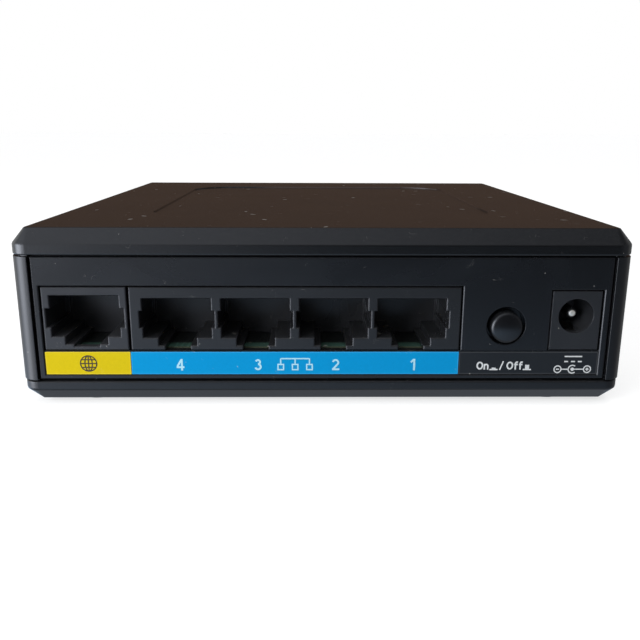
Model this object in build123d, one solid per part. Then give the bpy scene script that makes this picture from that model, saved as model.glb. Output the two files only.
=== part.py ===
from build123d import *
import os

# All sizes are in millimetres. The sockets face -Y, the lamps face +Y and Z is up.
# Zero is the middle of the footprint, at the level the feet stand on.

# Row of sockets along the rear panel, left to right, which sets the width of the case
port_margin_left = 1.37
wan_width = 15.0
jack_gap = 0.4
port_count = 4
port_pitch = 13.97
lan_start_wall = 1.36
lan_end_wall = 1.76
switch_bay = 16.2
dc_width = 9.0
port_margin_right = 1.47

# Case
case_depth = 111.5
corner_radius = 3.0
wall = 2.0
base_height = 4.1
frame_height = 23.1
lid_height = 4.55
base_step = 0.2
base_bevel_inset = 2.7
base_bevel_height = 2.5
lid_bevel_inset = 2.2
lid_bevel_height = 2.7
edge_round = 0.4
bevel_round = 0.6
seam_round = 0.25
floor_thickness = 2.0
roof_thickness = 2.0
seam_height = 0.3
seam_depth = 0.8
lip_thickness = 1.0
lip_reach = 1.8
fit_gap = 0.1
least_corner = 0.3

# Cutters run past the faces they open, and joined cutters run into one another
over = 1.0
lap = 0.1

# Shallow field in the top of the lid
field_width = 69.4
field_depth = 74.0
field_corner = 10.0
field_drop = 0.25
field_round = 0.18

# Pillars and rear panel
pillar_width = 3.18
pillar_depth = 4.6
panel_gap = 0.2
panel_recess = 0.45
panel_thickness = 2.0
panel_round = 0.35
panel_shade = 0.3
tongue_thickness = 1.0
tongue_reach = 1.2
window_clear = 0.2
window_drop = 0.1
window_round = 0.15

# Printed strips under the sockets
label_height = 4.2
label_thickness = 0.15
label_gap = 0.12
label_drop = 0.2
label_sink = 0.3
label_clear = 0.1

# Feet, screws and the columns they clamp
foot_height = 0.75
foot_radius = 5.0
foot_sink = 0.8
foot_inset_x = 12.0
foot_inset_y = 9.5
column_inset = 10.65
rear_column_reach = 24.0
front_column_reach = 12.0
boss_radius = 3.4
post_radius = 4.6
screw_radius = 1.25
screw_length = 16.0
pilot_gap = 0.05
screw_clear = 0.35
screw_head_radius = 2.75
screw_head_height = 2.0
screw_head_gap = 0.35
screw_seat = 4.0
drive_width = 0.8
drive_span = 3.2
drive_depth = 1.0
pilot_spare = 1.6

# Openings in the case
vent_count = 15
vent_pitch = 4.2
vent_width = 1.8
vent_height = 11.0
floor_vent_count = 9
floor_vent_pitch = 5.0
floor_vent_length = 12.0
floor_vent_reach = 32.0
keyhole_radius = 3.75
keyhole_slot_width = 4.0
keyhole_slot_reach = 6.0
keyhole_reach = 32.0
plate_width = 40.0
plate_depth = 30.0
plate_corner = 2.0
plate_drop = 0.2

# Circuit board
standoff_height = 6.25
board_thickness = 1.6
board_edge_gap = 5.6
board_gap = 0.6
front_space = 7.75

# Network sockets
jack_height = 11.6
jack_depth = 18.4
jack_setback = 0.3
jack_round = 0.15
socket_width = 12.2
plug_depth = 12.0
notch_depth = 11.0
latch_slot_width = 4.5
web = 0.6
lan_roof = 9.5
lan_notch_low = 4.15
lan_notch_high = 7.2
lan_notch_width = 13.3
lan_ledge = 2.3
lan_latch_width = 6.8
lan_step = 0.85
wan_roof = 10.0
wan_notch_low = 4.2
wan_notch_high = 7.65
wan_notch_width = 13.8
wan_ledge = 2.5
wan_latch_width = 7.5
wan_step = 1.1
wan_lip_height = 0.7
wan_lip_depth = 1.5
peg_radius = 1.5
peg_length = 1.4
peg_reach = 9.0
peg_inset = 2.0

# Spring contacts of the network sockets
contact_count = 8
contact_pitch = 1.02
contact_width = 0.4
contact_thickness = 0.3
contact_bend = 0.3
contact_rise = 0.45
contact_fold = 0.65
contact_front = 2.0
contact_back = 9.5
contact_drop = 1.8
contact_tail = 2.8
tail_row_near = 15.7
tail_row_far = 17.4
comb_width = 0.7
comb_front = 1.2
comb_clear = 0.4
carrier_width = 10.2
carrier_back = 15.3
tail_hole = 0.42

# Power inlet
dc_height = 10.95
dc_depth = 14.2
dc_bore_radius = 3.15
dc_bore_depth = 10.0
dc_axis_height = 6.36
dc_pin_radius = 1.0
dc_pin_setback = 2.0
dc_pin_dome = 0.75
dc_strip_width = 2.4
dc_strip_thickness = 0.5
dc_leaf_thickness = 0.35
dc_leaf_rise = 0.55
dc_leaf_slot = 1.3
dc_leaf_front = 2.4
dc_leaf_room = 0.6
dc_leaf_foot = 1.2
dc_tail = 2.6

# Power button and its switch
button_axis_height = 4.4
button_offset = 8.15
button_hole_radius = 3.4
button_hole_rise = 0.2
button_radius = 2.85
button_proud = 1.15
button_round = 0.6
button_dome = 0.3
button_travel = 2.0
button_flange_radius = 4.0
button_flange = 0.8
button_flange_gap = 0.2
button_tail_radius = 2.2
button_tail = 3.2
plunger_size = 2.2
plunger_grip = 2.4
plunger_gap = 0.3
switch_front = 7.0
switch_width = 8.2
switch_depth = 8.6
switch_wall = 1.0
slider_size = 4.2
slider_depth = 3.4
switch_pin_width = 0.6
switch_pin_thickness = 0.4
switch_pin_length = 2.8
switch_pin_pitch = 2.5
switch_row_pitch = 5.0

# Lamps, light pipe, set-up button and reset switch
lamp_count = 7
lamp_pitch = 8.0
lamp_radius = 1.4
lamp_rise = 4.4
lamp_body_x = 2.0
lamp_body_y = 1.25
lamp_body_z = 1.1
lamp_inset = 2.0
pipe_bar_depth = 3.0
pipe_bar_height = 5.0
pipe_end = 3.0
pipe_leg = 1.5
pipe_air = 0.4
setup_reach = 38.0
setup_length = 8.0
setup_height = 4.0
setup_clear = 0.3
setup_proud = 0.7
setup_flange = 0.8
setup_flange_rim = 0.8
setup_tail_radius = 1.5
setup_travel = 0.4
tact_size = 6.2
tact_height = 7.4
tact_depth = 3.6
tact_overhang = 0.6
tact_stem_radius = 1.7
tact_stem_gap = 0.25
tact_stem_sink = 1.6
tact_stem_length = 3.4
reset_reach_x = -32.0
reset_from_rear = 33.0
reset_body_height = 3.5
reset_stem_proud = 0.8
reset_stem_sink = 1.0
reset_travel = 0.25
reset_hole_radius = 1.3

# Electronics on the board: x from the middle, y from the board's rear edge
transformer_height = 6.0
transformer_depth = 10.0
transformer_y = 25.5
quad_transformer_width = 28.0
quad_transformer_x = -5.0
single_transformer_width = 13.0
single_transformer_x = -30.0
processor_size = 14.0
processor_height = 1.4
processor_x = 2.0
processor_y = 46.0
memory_width = 20.0
memory_depth = 10.2
memory_height = 1.1
memory_x = 25.0
memory_y = 46.0
flash_size = 5.2
flash_height = 1.8
flash_x = 2.0
flash_y = 60.0
regulator_size = 4.6
regulator_height = 1.6
regulator_x = 40.0
regulator_y = 57.0
lead_width = 0.3
lead_length = 1.0
lead_height = 0.25
crystal_length = 10.8
crystal_width = 4.6
crystal_height = 3.6
crystal_x = 17.0
crystal_y = 35.5
shield_width = 26.0
shield_depth = 22.0
shield_height = 2.8
shield_sheet = 0.3
shield_x = -25.0
shield_y = 48.0
inductor_size = 7.0
inductor_height = 4.0
inductor_bevel = 1.2
inductor_x = 40.0
inductor_y = 46.5
small_can_radius = 3.15
small_can_height = 7.0
small_can_x = 30.0
small_can_y = 24.0
small_can_pitch = 9.0
large_can_radius = 4.0
large_can_height = 11.0
large_can_x = 38.0
large_can_y = 35.0
antenna_length = 20.0
antenna_height = 6.0
antenna_width = 2.5
antenna_sheet = 0.4
antenna_inset = 0.6
antenna_y = 50.0

# Levels and positions that follow from the sizes
lan_width = lan_start_wall + port_count * port_pitch + lan_end_wall
panel_width = (
    port_margin_left + wan_width + jack_gap + lan_width + switch_bay + dc_width + port_margin_right
)
case_width = panel_width + 2 * (panel_gap + pillar_width)
half_width = case_width / 2
half_depth = case_depth / 2
base_low = foot_height
base_high = base_low + base_height
frame_high = base_high + frame_height
lid_high = frame_high + lid_height
floor_top = base_low + floor_thickness
roof_under = lid_high - roof_thickness
board_low = floor_top + standoff_height
board_top = board_low + board_thickness
panel_face = -half_depth + panel_recess
label_high = board_top - window_drop - label_drop
panel_back = panel_face + panel_thickness
jack_face = panel_face + jack_setback
board_rear = panel_back + board_gap
board_front = half_depth - wall - front_space
board_half = half_width - board_edge_gap
wan_left = -panel_width / 2 + port_margin_left
wan_right = wan_left + wan_width
wan_x = wan_left + wan_width / 2
lan_left = wan_right + jack_gap
lan_right = lan_left + lan_width
lan_ports = [lan_left + lan_start_wall + (i + 0.5) * port_pitch for i in range(port_count)]
dc_left = lan_right + switch_bay
dc_right = dc_left + dc_width
dc_x = dc_left + dc_width / 2
dc_z = board_top + dc_axis_height
button_x = lan_right + button_offset
button_z = board_top + button_axis_height
lamp_z = board_top + lamp_rise
lamp_row = [(i - (lamp_count - 1) / 2) * lamp_pitch for i in range(lamp_count)]
shell_wall = wall + fit_gap + lip_thickness
column_x = half_width - column_inset
columns = [
    (side * column_x, y)
    for y in (board_rear + rear_column_reach, board_front - front_column_reach)
    for side in (-1, 1)
]
foot_x = half_width - foot_inset_x
foot_y = half_depth - foot_inset_y


def slab(inset, low, high):
    """The case outline, drawn in by an inset all round, as an upright block."""
    radius = max(corner_radius - inset, least_corner)
    outline = RectangleRounded(case_width - 2 * inset, case_depth - 2 * inset, radius)
    return extrude(Plane.XY.offset(low) * outline, amount=high - low)


def block(x_low, x_high, y_low, y_high, z_low, z_high):
    """A box between two corners."""
    centre = Pos((x_low + x_high) / 2, (y_low + y_high) / 2, (z_low + z_high) / 2)
    return centre * Box(x_high - x_low, y_high - y_low, z_high - z_low)


def post(x, y, radius, low, high):
    """An upright cylinder."""
    return Pos(x, y, (low + high) / 2) * Cylinder(radius, high - low)


def rod(x, z, radius, y_low, y_high):
    """A cylinder along Y."""
    return Pos(x, (y_low + y_high) / 2, z) * Rot(90, 0, 0) * Cylinder(radius, y_high - y_low)


def level_edges(shape, z):
    """The level edges of a shape that lie at one height."""
    flat = shape.edges().filter_by(lambda e: e.bounding_box().size.Z < 0.001)
    return flat.filter_by(lambda e: abs(e.center().Z - z) < 0.001)


def front_edges(shape):
    """The edges round the face nearest to the user of the sockets, with its openings."""
    return shape.faces().filter_by(Axis.Y).sort_by(Axis.Y)[0].edges()


def rim(low, high):
    """The lip inside the case walls, left out along the rear panel."""
    ring = slab(wall + fit_gap, low, high) - slab(shell_wall, low, high)
    rear_end = -half_depth + pillar_depth + 4 * fit_gap
    return ring - block(-half_width, half_width, -half_depth - over, rear_end, low - over, high + over)


def group(pieces):
    """Several separate solids as one node."""
    return Compound(children=list(pieces))


# Lid


def make_top_cover():
    shell = slab(0, frame_high, lid_high)
    top = shell.faces().sort_by(Axis.Z)[-1]
    shell = chamfer(top.edges(), lid_bevel_inset, lid_bevel_height, reference=top)
    shell = fillet(level_edges(shell, lid_high), edge_round)
    shell = fillet(level_edges(shell, lid_high - lid_bevel_height), bevel_round)
    shell = fillet(level_edges(shell, frame_high), seam_round)
    shell = shell - slab(shell_wall, frame_high - over, roof_under)
    field = RectangleRounded(field_width, field_depth, field_corner)
    shell = shell - extrude(Plane.XY.offset(lid_high - field_drop) * field, amount=over)
    field_rim = shell.faces().sort_by(Axis.Z)[-1].inner_wires()[0]
    shell = fillet(field_rim.edges(), field_round)
    shell = shell + rim(frame_high - lip_reach, frame_high)
    pilot_depth = screw_length - (board_top - base_low - screw_seat) + pilot_spare
    for x, y in columns:
        shell = shell + post(x, y, boss_radius, board_top, roof_under)
    for x, y in columns:
        shell = shell - post(x, y, screw_radius + pilot_gap, board_top - over, board_top + pilot_depth)
    return shell


# Middle frame


def make_side_frame():
    inner_x = half_width - pillar_width
    rear_end = -half_depth + pillar_depth
    solid = slab(0, base_high, frame_high)
    walls = solid - slab(wall, base_high, frame_high)
    walls = walls - block(-inner_x, inner_x, -half_depth - over, rear_end, base_high, frame_high)
    for side in (-1, 1):
        x_low, x_high = sorted((side * inner_x, side * half_width))
        pillar = solid & block(x_low, x_high, -half_depth, rear_end, base_high, frame_high)
        walls = walls + pillar
    groove_x = panel_width / 2 + panel_gap + tongue_reach + fit_gap
    groove_front = panel_back - tongue_thickness - fit_gap
    walls = walls - block(
        -groove_x, groove_x, groove_front, panel_back + fit_gap, base_high - over, frame_high + over
    )
    for low in (base_high, frame_high - seam_height):
        ring = slab(-over, low, low + seam_height) - slab(seam_depth, low, low + seam_height)
        walls = walls - ring
    slots = [
        Pos(0, (i - (vent_count - 1) / 2) * vent_pitch, (base_high + frame_high) / 2)
        * extrude(Plane.YZ * SlotOverall(vent_height, vent_width, rotation=90), half_width + over, both=True)
        for i in range(vent_count)
    ]
    walls = walls - slots
    for x in lamp_row:
        walls = walls - rod(x, lamp_z, lamp_radius + fit_gap, half_depth - wall - over, half_depth + over)
    walls = walls - setup_bar(setup_clear, half_depth - wall - over, half_depth + over)
    return walls


# Base


def make_bottom_tray():
    shell = slab(base_step, base_low, base_high)
    under = shell.faces().sort_by(Axis.Z)[0]
    shell = chamfer(under.edges(), base_bevel_inset, base_bevel_height, reference=under)
    shell = fillet(level_edges(shell, base_low), edge_round)
    shell = fillet(level_edges(shell, base_low + base_bevel_height), bevel_round)
    shell = fillet(level_edges(shell, base_high), seam_round)
    shell = shell - slab(shell_wall, floor_top, base_high + over)
    shell = shell + rim(base_high, base_high + lip_reach)
    for x, y in columns:
        shell = shell + post(x, y, post_radius, floor_top, board_low)
    seat = base_low + screw_seat
    for x, y in columns:
        shell = shell - post(x, y, screw_radius + screw_clear, base_low - over, board_low + over)
        shell = shell - post(x, y, screw_head_radius + screw_head_gap, base_low - over, seat)
    for x in (-foot_x, foot_x):
        for y in (-foot_y, foot_y):
            shell = shell - post(x, y, foot_radius + fit_gap, base_low - over, base_low + foot_sink)
    for x in (-keyhole_reach, keyhole_reach):
        shell = shell - post(x, 0, keyhole_radius, base_low - over, floor_top + over)
        half_slot = keyhole_slot_width / 2
        slot_end = keyhole_radius + keyhole_slot_reach - half_slot
        shell = shell - block(x - half_slot, x + half_slot, 0, slot_end, base_low - over, floor_top + over)
        shell = shell - post(x, slot_end, half_slot, base_low - over, floor_top + over)
    for y in (-floor_vent_reach, floor_vent_reach):
        slots = [
            Pos((i - (floor_vent_count - 1) / 2) * floor_vent_pitch, y, base_low - over)
            * extrude(SlotOverall(floor_vent_length, vent_width, rotation=90), floor_thickness + 2 * over)
            for i in range(floor_vent_count)
        ]
        shell = shell - slots
    shell = shell - post(
        reset_reach_x, board_rear + reset_from_rear, reset_hole_radius, base_low - over, floor_top + over
    )
    plate = RectangleRounded(plate_width, plate_depth, plate_corner)
    shell = shell - extrude(Plane.XY.offset(base_low - over) * plate, amount=over + plate_drop)
    return shell


def make_foot(x, y):
    foot = post(x, y, foot_radius, 0, base_low + foot_sink)
    return fillet(level_edges(foot, 0), edge_round)


def make_case_screw(x, y):
    seat = base_low + screw_seat
    screw = post(x, y, screw_radius, seat, seat + screw_length)
    head = post(x, y, screw_head_radius, seat - screw_head_height, seat)
    screw = screw + fillet(level_edges(head, seat - screw_head_height), edge_round)
    drive_low = seat - screw_head_height - over
    drive_high = seat - screw_head_height + drive_depth
    long_side = drive_span / 2
    short_side = drive_width / 2
    screw = screw - block(x - long_side, x + long_side, y - short_side, y + short_side, drive_low, drive_high)
    screw = screw - block(x - short_side, x + short_side, y - long_side, y + long_side, drive_low, drive_high)
    return screw


# Rear panel and its printed strips


def make_rear_panel():
    half = panel_width / 2
    plate = block(-half, half, panel_face, panel_back, base_high + panel_shade, frame_high - panel_shade)
    plate = fillet(front_edges(plate), panel_round)
    tongue = half + panel_gap + tongue_reach
    top = frame_high - fit_gap
    plate = plate + block(-tongue, tongue, panel_back - tongue_thickness, panel_back, base_high, top)
    front = panel_face - over
    back = panel_back + over
    low = board_top - window_drop
    x_low = wan_left - window_clear
    x_high = dc_right + window_clear
    high = board_top + jack_height + window_clear
    plate = plate - block(x_low, lan_right + window_clear, front, back, low, high)
    high = board_top + dc_height + window_clear
    plate = plate - block(dc_left - window_clear, x_high, front, back, low, high)
    pocket_low = label_high - label_height - label_clear
    plate = plate - block(x_low, x_high, front, panel_face + label_sink, pocket_low, low + lap)
    plate = plate - rod(button_x, button_z + button_hole_rise, button_hole_radius, front, back)
    openings = [wire.edges() for wire in plate.faces().filter_by(Axis.Y).sort_by(Axis.Y)[0].inner_wires()]
    return chamfer([edge for edges in openings for edge in edges], window_round)


def make_label(x_low, x_high):
    back = panel_face + label_sink
    return block(x_low, x_high, back - label_thickness, back, label_high - label_height, label_high)


# Network sockets


def contact_offsets():
    return [(i - (contact_count - 1) / 2) * contact_pitch for i in range(contact_count)]


def socket_hollow(x, roof, notch_low, notch_high, notch_width, ledge, latch_width, step):
    """The space for a plug, its latch and the contacts behind one mouth."""
    z = board_top
    front = jack_face - over
    end = jack_face + plug_depth
    back = jack_face + jack_depth + over
    half = socket_width / 2
    hollow = block(x - half, x + half, front, end, z + ledge, z + roof)
    half = notch_width / 2
    hollow = hollow + block(
        x - half, x + half, front, jack_face + notch_depth, z + notch_low, z + notch_high
    )
    half = latch_width / 2
    hollow = hollow + block(x - half, x + half, front, end, z + step, z + ledge + lap)
    half = latch_slot_width / 2
    hollow = hollow + block(x - half, x + half, front, end, z - over, z + step + lap)
    half = carrier_width / 2 + fit_gap
    comb_top = z + roof + contact_rise + comb_clear
    hollow = hollow + block(x - half, x + half, end + web, back, z - over, comb_top)
    combs = [
        block(
            x + dx - comb_width / 2, x + dx + comb_width / 2, jack_face + comb_front, end + web + lap,
            z + roof - lap, comb_top,
        )
        for dx in contact_offsets()
    ]
    return hollow + combs


def lan_hollow(x):
    return socket_hollow(
        x, lan_roof, lan_notch_low, lan_notch_high, lan_notch_width, lan_ledge, lan_latch_width, lan_step
    )


def wan_hollow(x):
    hollow = socket_hollow(
        x, wan_roof, wan_notch_low, wan_notch_high, wan_notch_width, wan_ledge, wan_latch_width, wan_step
    )
    half = latch_slot_width / 2
    return hollow - block(
        x - half, x + half, jack_face - over, jack_face + wan_lip_depth,
        board_top - over, board_top + wan_lip_height,
    )


def jack_pegs(x_low, x_high):
    return [(x_low + peg_inset, jack_face + peg_reach), (x_high - peg_inset, jack_face + peg_reach)]


def make_jack(x_low, x_high, hollows):
    back = jack_face + jack_depth
    body = block(x_low, x_high, jack_face, back, board_top, board_top + jack_height)
    for hollow in hollows:
        body = body - hollow
    body = chamfer(front_edges(body), jack_round)
    for x, y in jack_pegs(x_low, x_high):
        body = body + post(x, y, peg_radius, board_top - peg_length, board_top)
    return body


def contact_strip(tail, roof):
    """A bent spring strip: tail, run along the roof, fold, and slope back down."""
    run = roof + contact_rise
    bends = [
        (tail, -contact_tail),
        (tail, run),
        (contact_front, run),
        (contact_front, run - contact_fold),
        (contact_back, run - contact_fold - contact_drop),
    ]
    line = FilletPolyline(*bends, radius=contact_bend)
    return extrude(Plane.YZ * trace(line, contact_thickness), amount=contact_width / 2, both=True)


def make_contacts(ports, roof):
    near = contact_strip(tail_row_near, roof)
    far = contact_strip(tail_row_far, roof)
    return group(
        Pos(x + dx, jack_face, board_top) * (near if i % 2 == 0 else far)
        for x in ports
        for i, dx in enumerate(contact_offsets())
    )


def make_carrier(x, roof):
    half = carrier_width / 2
    front = jack_face + plug_depth + web + fit_gap
    high = board_top + roof + contact_rise - contact_thickness / 2 - fit_gap
    return block(x - half, x + half, front, jack_face + carrier_back, board_top, high)


def tail_holes(x):
    near = jack_face + tail_row_near
    far = jack_face + tail_row_far
    return [(x + dx, near if i % 2 == 0 else far) for i, dx in enumerate(contact_offsets())]


# Power inlet


def make_dc_jack_housing():
    body = block(dc_left, dc_right, jack_face, jack_face + dc_depth, board_top, board_top + dc_height)
    body = chamfer(front_edges(body), jack_round)
    body = body - rod(dc_x, dc_z, dc_bore_radius, jack_face - over, jack_face + dc_bore_depth)
    body = body - rod(dc_x, dc_z, dc_pin_radius + pilot_gap, jack_face, jack_face + dc_depth + over)
    half = dc_strip_width / 2 + fit_gap
    slot_low = dc_z - dc_bore_radius - dc_leaf_slot
    slot_front = jack_face + dc_leaf_front - dc_leaf_room
    body = body - block(dc_x - half, dc_x + half, slot_front, jack_face + dc_bore_depth, slot_low, dc_z)
    tail_front = jack_face + dc_bore_depth - dc_leaf_thickness - 2 * fit_gap
    return body - block(
        dc_x - half, dc_x + half, tail_front, jack_face + dc_bore_depth, board_top - over, slot_low + lap
    )


def make_dc_pin():
    tip = jack_face + dc_pin_setback
    back = jack_face + dc_depth
    pin = rod(dc_x, dc_z, dc_pin_radius, tip, back + fit_gap)
    pin = fillet(pin.edges().sort_by(Axis.Y)[:1], dc_pin_dome)
    half = dc_strip_width / 2
    strip_front = back + fit_gap
    strip = block(
        dc_x - half, dc_x + half, strip_front, strip_front + dc_strip_thickness,
        board_top - dc_tail, dc_z + half,
    )
    return pin + strip


def make_dc_leaf():
    """A bowed leaf spring along the bottom of the bore, with a tail through the board."""
    floor = dc_axis_height - dc_bore_radius
    rest = floor - dc_leaf_slot + dc_leaf_thickness / 2 + fit_gap
    crest = floor + dc_leaf_rise
    tail = dc_bore_depth - dc_leaf_thickness / 2 - fit_gap
    bends = [(tail, -dc_tail), (tail, rest), (tail - dc_leaf_foot, rest), ((tail + dc_leaf_front) / 2, crest)]
    bends.append((dc_leaf_front, rest + dc_leaf_thickness))
    line = FilletPolyline(*bends, radius=dc_leaf_thickness)
    leaf = extrude(Plane.YZ * trace(line, dc_leaf_thickness), amount=dc_strip_width / 2, both=True)
    return Pos(dc_x, jack_face, board_top) * leaf


# Power button and its switch

cap_back = panel_back + button_flange_gap + button_flange + button_tail
switch_face = panel_back + switch_front
chamber_front = switch_face + switch_wall
slider_front = chamber_front + plunger_gap


def square_rod(x, z, size, y_low, y_high):
    half = size / 2
    return block(x - half, x + half, y_low, y_high, z - half, z + half)


def make_power_button():
    front = panel_face - button_proud
    flange_front = panel_back + button_flange_gap
    cap = rod(button_x, button_z, button_radius, front - over, flange_front)
    ball = (button_radius**2 + button_dome**2) / (2 * button_dome)
    cap = cap & Pos(button_x, front + ball, button_z) * Sphere(ball)
    cap = fillet(cap.edges().sort_by(Axis.Y)[:1], button_round)
    cap = cap + rod(button_x, button_z, button_flange_radius, flange_front, flange_front + button_flange)
    cap = cap + rod(button_x, button_z, button_tail_radius, flange_front + button_flange, cap_back)
    return cap - square_rod(button_x, button_z, plunger_size, cap_back - plunger_grip, cap_back + over)


def make_power_plunger():
    shaft = square_rod(button_x, button_z, plunger_size, cap_back - plunger_grip, slider_front)
    slider = square_rod(button_x, button_z, slider_size, slider_front, slider_front + slider_depth)
    return shaft + slider


def make_power_switch():
    half = switch_width / 2
    high = board_top + 2 * button_axis_height
    body = block(
        button_x - half, button_x + half, switch_face, switch_face + switch_depth, board_top, high
    )
    body = chamfer(body.edges().filter_by(Axis.Y), edge_round)
    hole = plunger_size + 2 * plunger_gap
    body = body - square_rod(button_x, button_z, hole, switch_face - over, chamber_front + over)
    chamber = slider_size + 2 * plunger_gap
    chamber_end = switch_face + switch_depth - switch_wall
    return body - square_rod(button_x, button_z, chamber, chamber_front, chamber_end)


def switch_pin_places():
    middle = switch_face + switch_depth / 2
    return [
        (button_x + row * switch_row_pitch / 2, middle + step * switch_pin_pitch)
        for row in (-1, 1)
        for step in (-1, 0, 1)
    ]


def make_power_switch_pins():
    half_x = switch_pin_thickness / 2
    half_y = switch_pin_width / 2
    return group(
        block(x - half_x, x + half_x, y - half_y, y + half_y, board_top - switch_pin_length, board_top)
        for x, y in switch_pin_places()
    )


# Lamps and light pipe


def make_lamps():
    y = board_front - lamp_inset
    half_x = lamp_body_x / 2
    half_y = lamp_body_y / 2
    return group(
        block(x - half_x, x + half_x, y - half_y, y + half_y, board_top, board_top + lamp_body_z)
        for x in lamp_row
    )


def make_light_pipe():
    wall_face = half_depth - wall
    bar_back = wall_face - pipe_bar_depth
    half_bar = pipe_bar_height / 2
    end = lamp_row[-1] + pipe_end
    pipe = block(-end, end, bar_back, wall_face, lamp_z - half_bar, lamp_z + half_bar)
    lamp_y = board_front - lamp_inset
    leg_low = board_top + lamp_body_z + pipe_air
    for x in lamp_row:
        pipe = pipe + rod(x, lamp_z, lamp_radius, wall_face, half_depth)
        pipe = pipe + block(
            x - pipe_leg, x + pipe_leg, lamp_y - pipe_leg, bar_back, lamp_z - pipe_leg, lamp_z + pipe_leg
        )
        pipe = pipe + block(
            x - pipe_leg, x + pipe_leg, lamp_y - pipe_leg, lamp_y + pipe_leg, leg_low, lamp_z
        )
    return pipe


# Set-up button and its switch

tact_face = board_front + tact_overhang
stem_end = tact_face + tact_stem_length


def setup_bar(spare, y_low, y_high):
    """A bar along Y with the button's rounded outline, larger all round by a spare."""
    outline = SlotOverall(setup_length + 2 * spare, setup_height + 2 * spare)
    bar = extrude(Plane.XZ * outline, amount=-(y_high - y_low))
    return Pos(setup_reach, y_low, lamp_z) * bar


def make_setup_button():
    flange_high = half_depth - wall - button_flange_gap
    flange_low = flange_high - setup_flange
    cap = setup_bar(0, flange_high, half_depth + setup_proud)
    cap = cap + setup_bar(setup_flange_rim, flange_low, flange_high)
    return cap + rod(setup_reach, lamp_z, setup_tail_radius, stem_end, flange_low)


def make_setup_switch():
    half = tact_size / 2
    body = block(
        setup_reach - half, setup_reach + half, tact_face - tact_depth, tact_face,
        board_top, board_top + tact_height,
    )
    hole_end = tact_face - tact_stem_sink - setup_travel - tact_stem_gap
    return body - rod(setup_reach, lamp_z, tact_stem_radius + tact_stem_gap, hole_end, tact_face + over)


def make_setup_stem():
    return rod(setup_reach, lamp_z, tact_stem_radius, tact_face - tact_stem_sink, stem_end)


# Reset switch under the board

reset_y = board_rear + reset_from_rear
reset_low = board_low - reset_body_height


def make_reset_switch():
    half = tact_size / 2
    body = block(
        reset_reach_x - half, reset_reach_x + half, reset_y - half, reset_y + half, reset_low, board_low
    )
    hole_top = reset_low + reset_stem_sink + reset_travel + tact_stem_gap
    return body - post(reset_reach_x, reset_y, tact_stem_radius + tact_stem_gap, reset_low - over, hole_top)


def make_reset_stem():
    low = reset_low - reset_stem_proud
    return post(reset_reach_x, reset_y, tact_stem_radius, low, reset_low + reset_stem_sink)


# Circuit board


def make_main_board():
    board = block(-board_half, board_half, board_rear, board_front, board_low, board_top)
    holes = [(x, y, screw_radius + screw_clear) for x, y in columns]
    pegs = jack_pegs(wan_left, wan_right) + jack_pegs(lan_left, lan_right)
    holes += [(x, y, peg_radius + fit_gap) for x, y in pegs]
    for port in [wan_x] + lan_ports:
        holes += [(x, y, tail_hole) for x, y in tail_holes(port)]
    holes += [(x, y, switch_pin_width) for x, y in switch_pin_places()]
    board = board - [post(x, y, radius, board_low - over, board_top + over) for x, y, radius in holes]
    half = dc_strip_width / 2 + 2 * fit_gap
    leaf_y = jack_face + dc_bore_depth - dc_leaf_thickness / 2 - fit_gap
    strip_y = jack_face + dc_depth + fit_gap + dc_strip_thickness / 2
    for y in (leaf_y, strip_y):
        board = board - block(
            dc_x - half, dc_x + half, y - dc_strip_thickness, y + dc_strip_thickness,
            board_low - over, board_top + over,
        )
    return board


# Electronics on the board


def chip(x, y, width, depth, height, leads_x, leads_y):
    """A moulded chip with rows of leads along its two or four sides."""
    y = board_rear + y
    low = board_top + lead_height / 2
    body = block(x - width / 2, x + width / 2, y - depth / 2, y + depth / 2, low, board_top + height)
    body = chamfer(level_edges(body, board_top + height), lead_height / 2)
    leads = []
    half = lead_width / 2
    high = board_top + lead_height
    for i in range(leads_x):
        along = x - width / 2 + (i + 1) * width / (leads_x + 1)
        far = depth / 2 + lead_length
        leads.append(block(along - half, along + half, y - far, y + far, board_top, high))
    for i in range(leads_y):
        along = y - depth / 2 + (i + 1) * depth / (leads_y + 1)
        near = width / 2 - lead_length
        far = width / 2 + lead_length
        leads.append(block(x - far, x - near, along - half, along + half, board_top, high))
        leads.append(block(x + near, x + far, along - half, along + half, board_top, high))
    return body + leads


def make_transformers():
    sizes = (
        (quad_transformer_x, quad_transformer_width, 20),
        (single_transformer_x, single_transformer_width, 8),
    )
    return group(
        chip(x, transformer_y, width, transformer_depth, transformer_height, leads, 0)
        for x, width, leads in sizes
    )


def make_crystal():
    outline = SlotOverall(crystal_length, crystal_width)
    can = Pos(crystal_x, board_rear + crystal_y, board_top) * extrude(outline, crystal_height)
    return fillet(level_edges(can, board_top + crystal_height), edge_round)


def make_shield():
    x_low = shield_x - shield_width / 2
    x_high = shield_x + shield_width / 2
    y_low = board_rear + shield_y - shield_depth / 2
    y_high = y_low + shield_depth
    can = block(x_low, x_high, y_low, y_high, board_top, board_top + shield_height)
    return can - block(
        x_low + shield_sheet, x_high - shield_sheet, y_low + shield_sheet, y_high - shield_sheet,
        board_top - over, board_top + shield_height - shield_sheet,
    )


def make_inductor():
    half = inductor_size / 2
    y = board_rear + inductor_y
    core = block(
        inductor_x - half, inductor_x + half, y - half, y + half, board_top, board_top + inductor_height
    )
    return chamfer(core.edges().filter_by(Axis.Z), inductor_bevel)


def make_capacitors():
    cans = (
        (small_can_x, small_can_y, small_can_radius, small_can_height),
        (small_can_x, small_can_y + small_can_pitch, small_can_radius, small_can_height),
        (large_can_x, large_can_y, large_can_radius, large_can_height),
    )
    pieces = []
    for x, y, radius, height in cans:
        can = post(x, board_rear + y, radius, board_top, board_top + height)
        pieces.append(fillet(level_edges(can, board_top + height), edge_round))
    return group(pieces)


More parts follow.
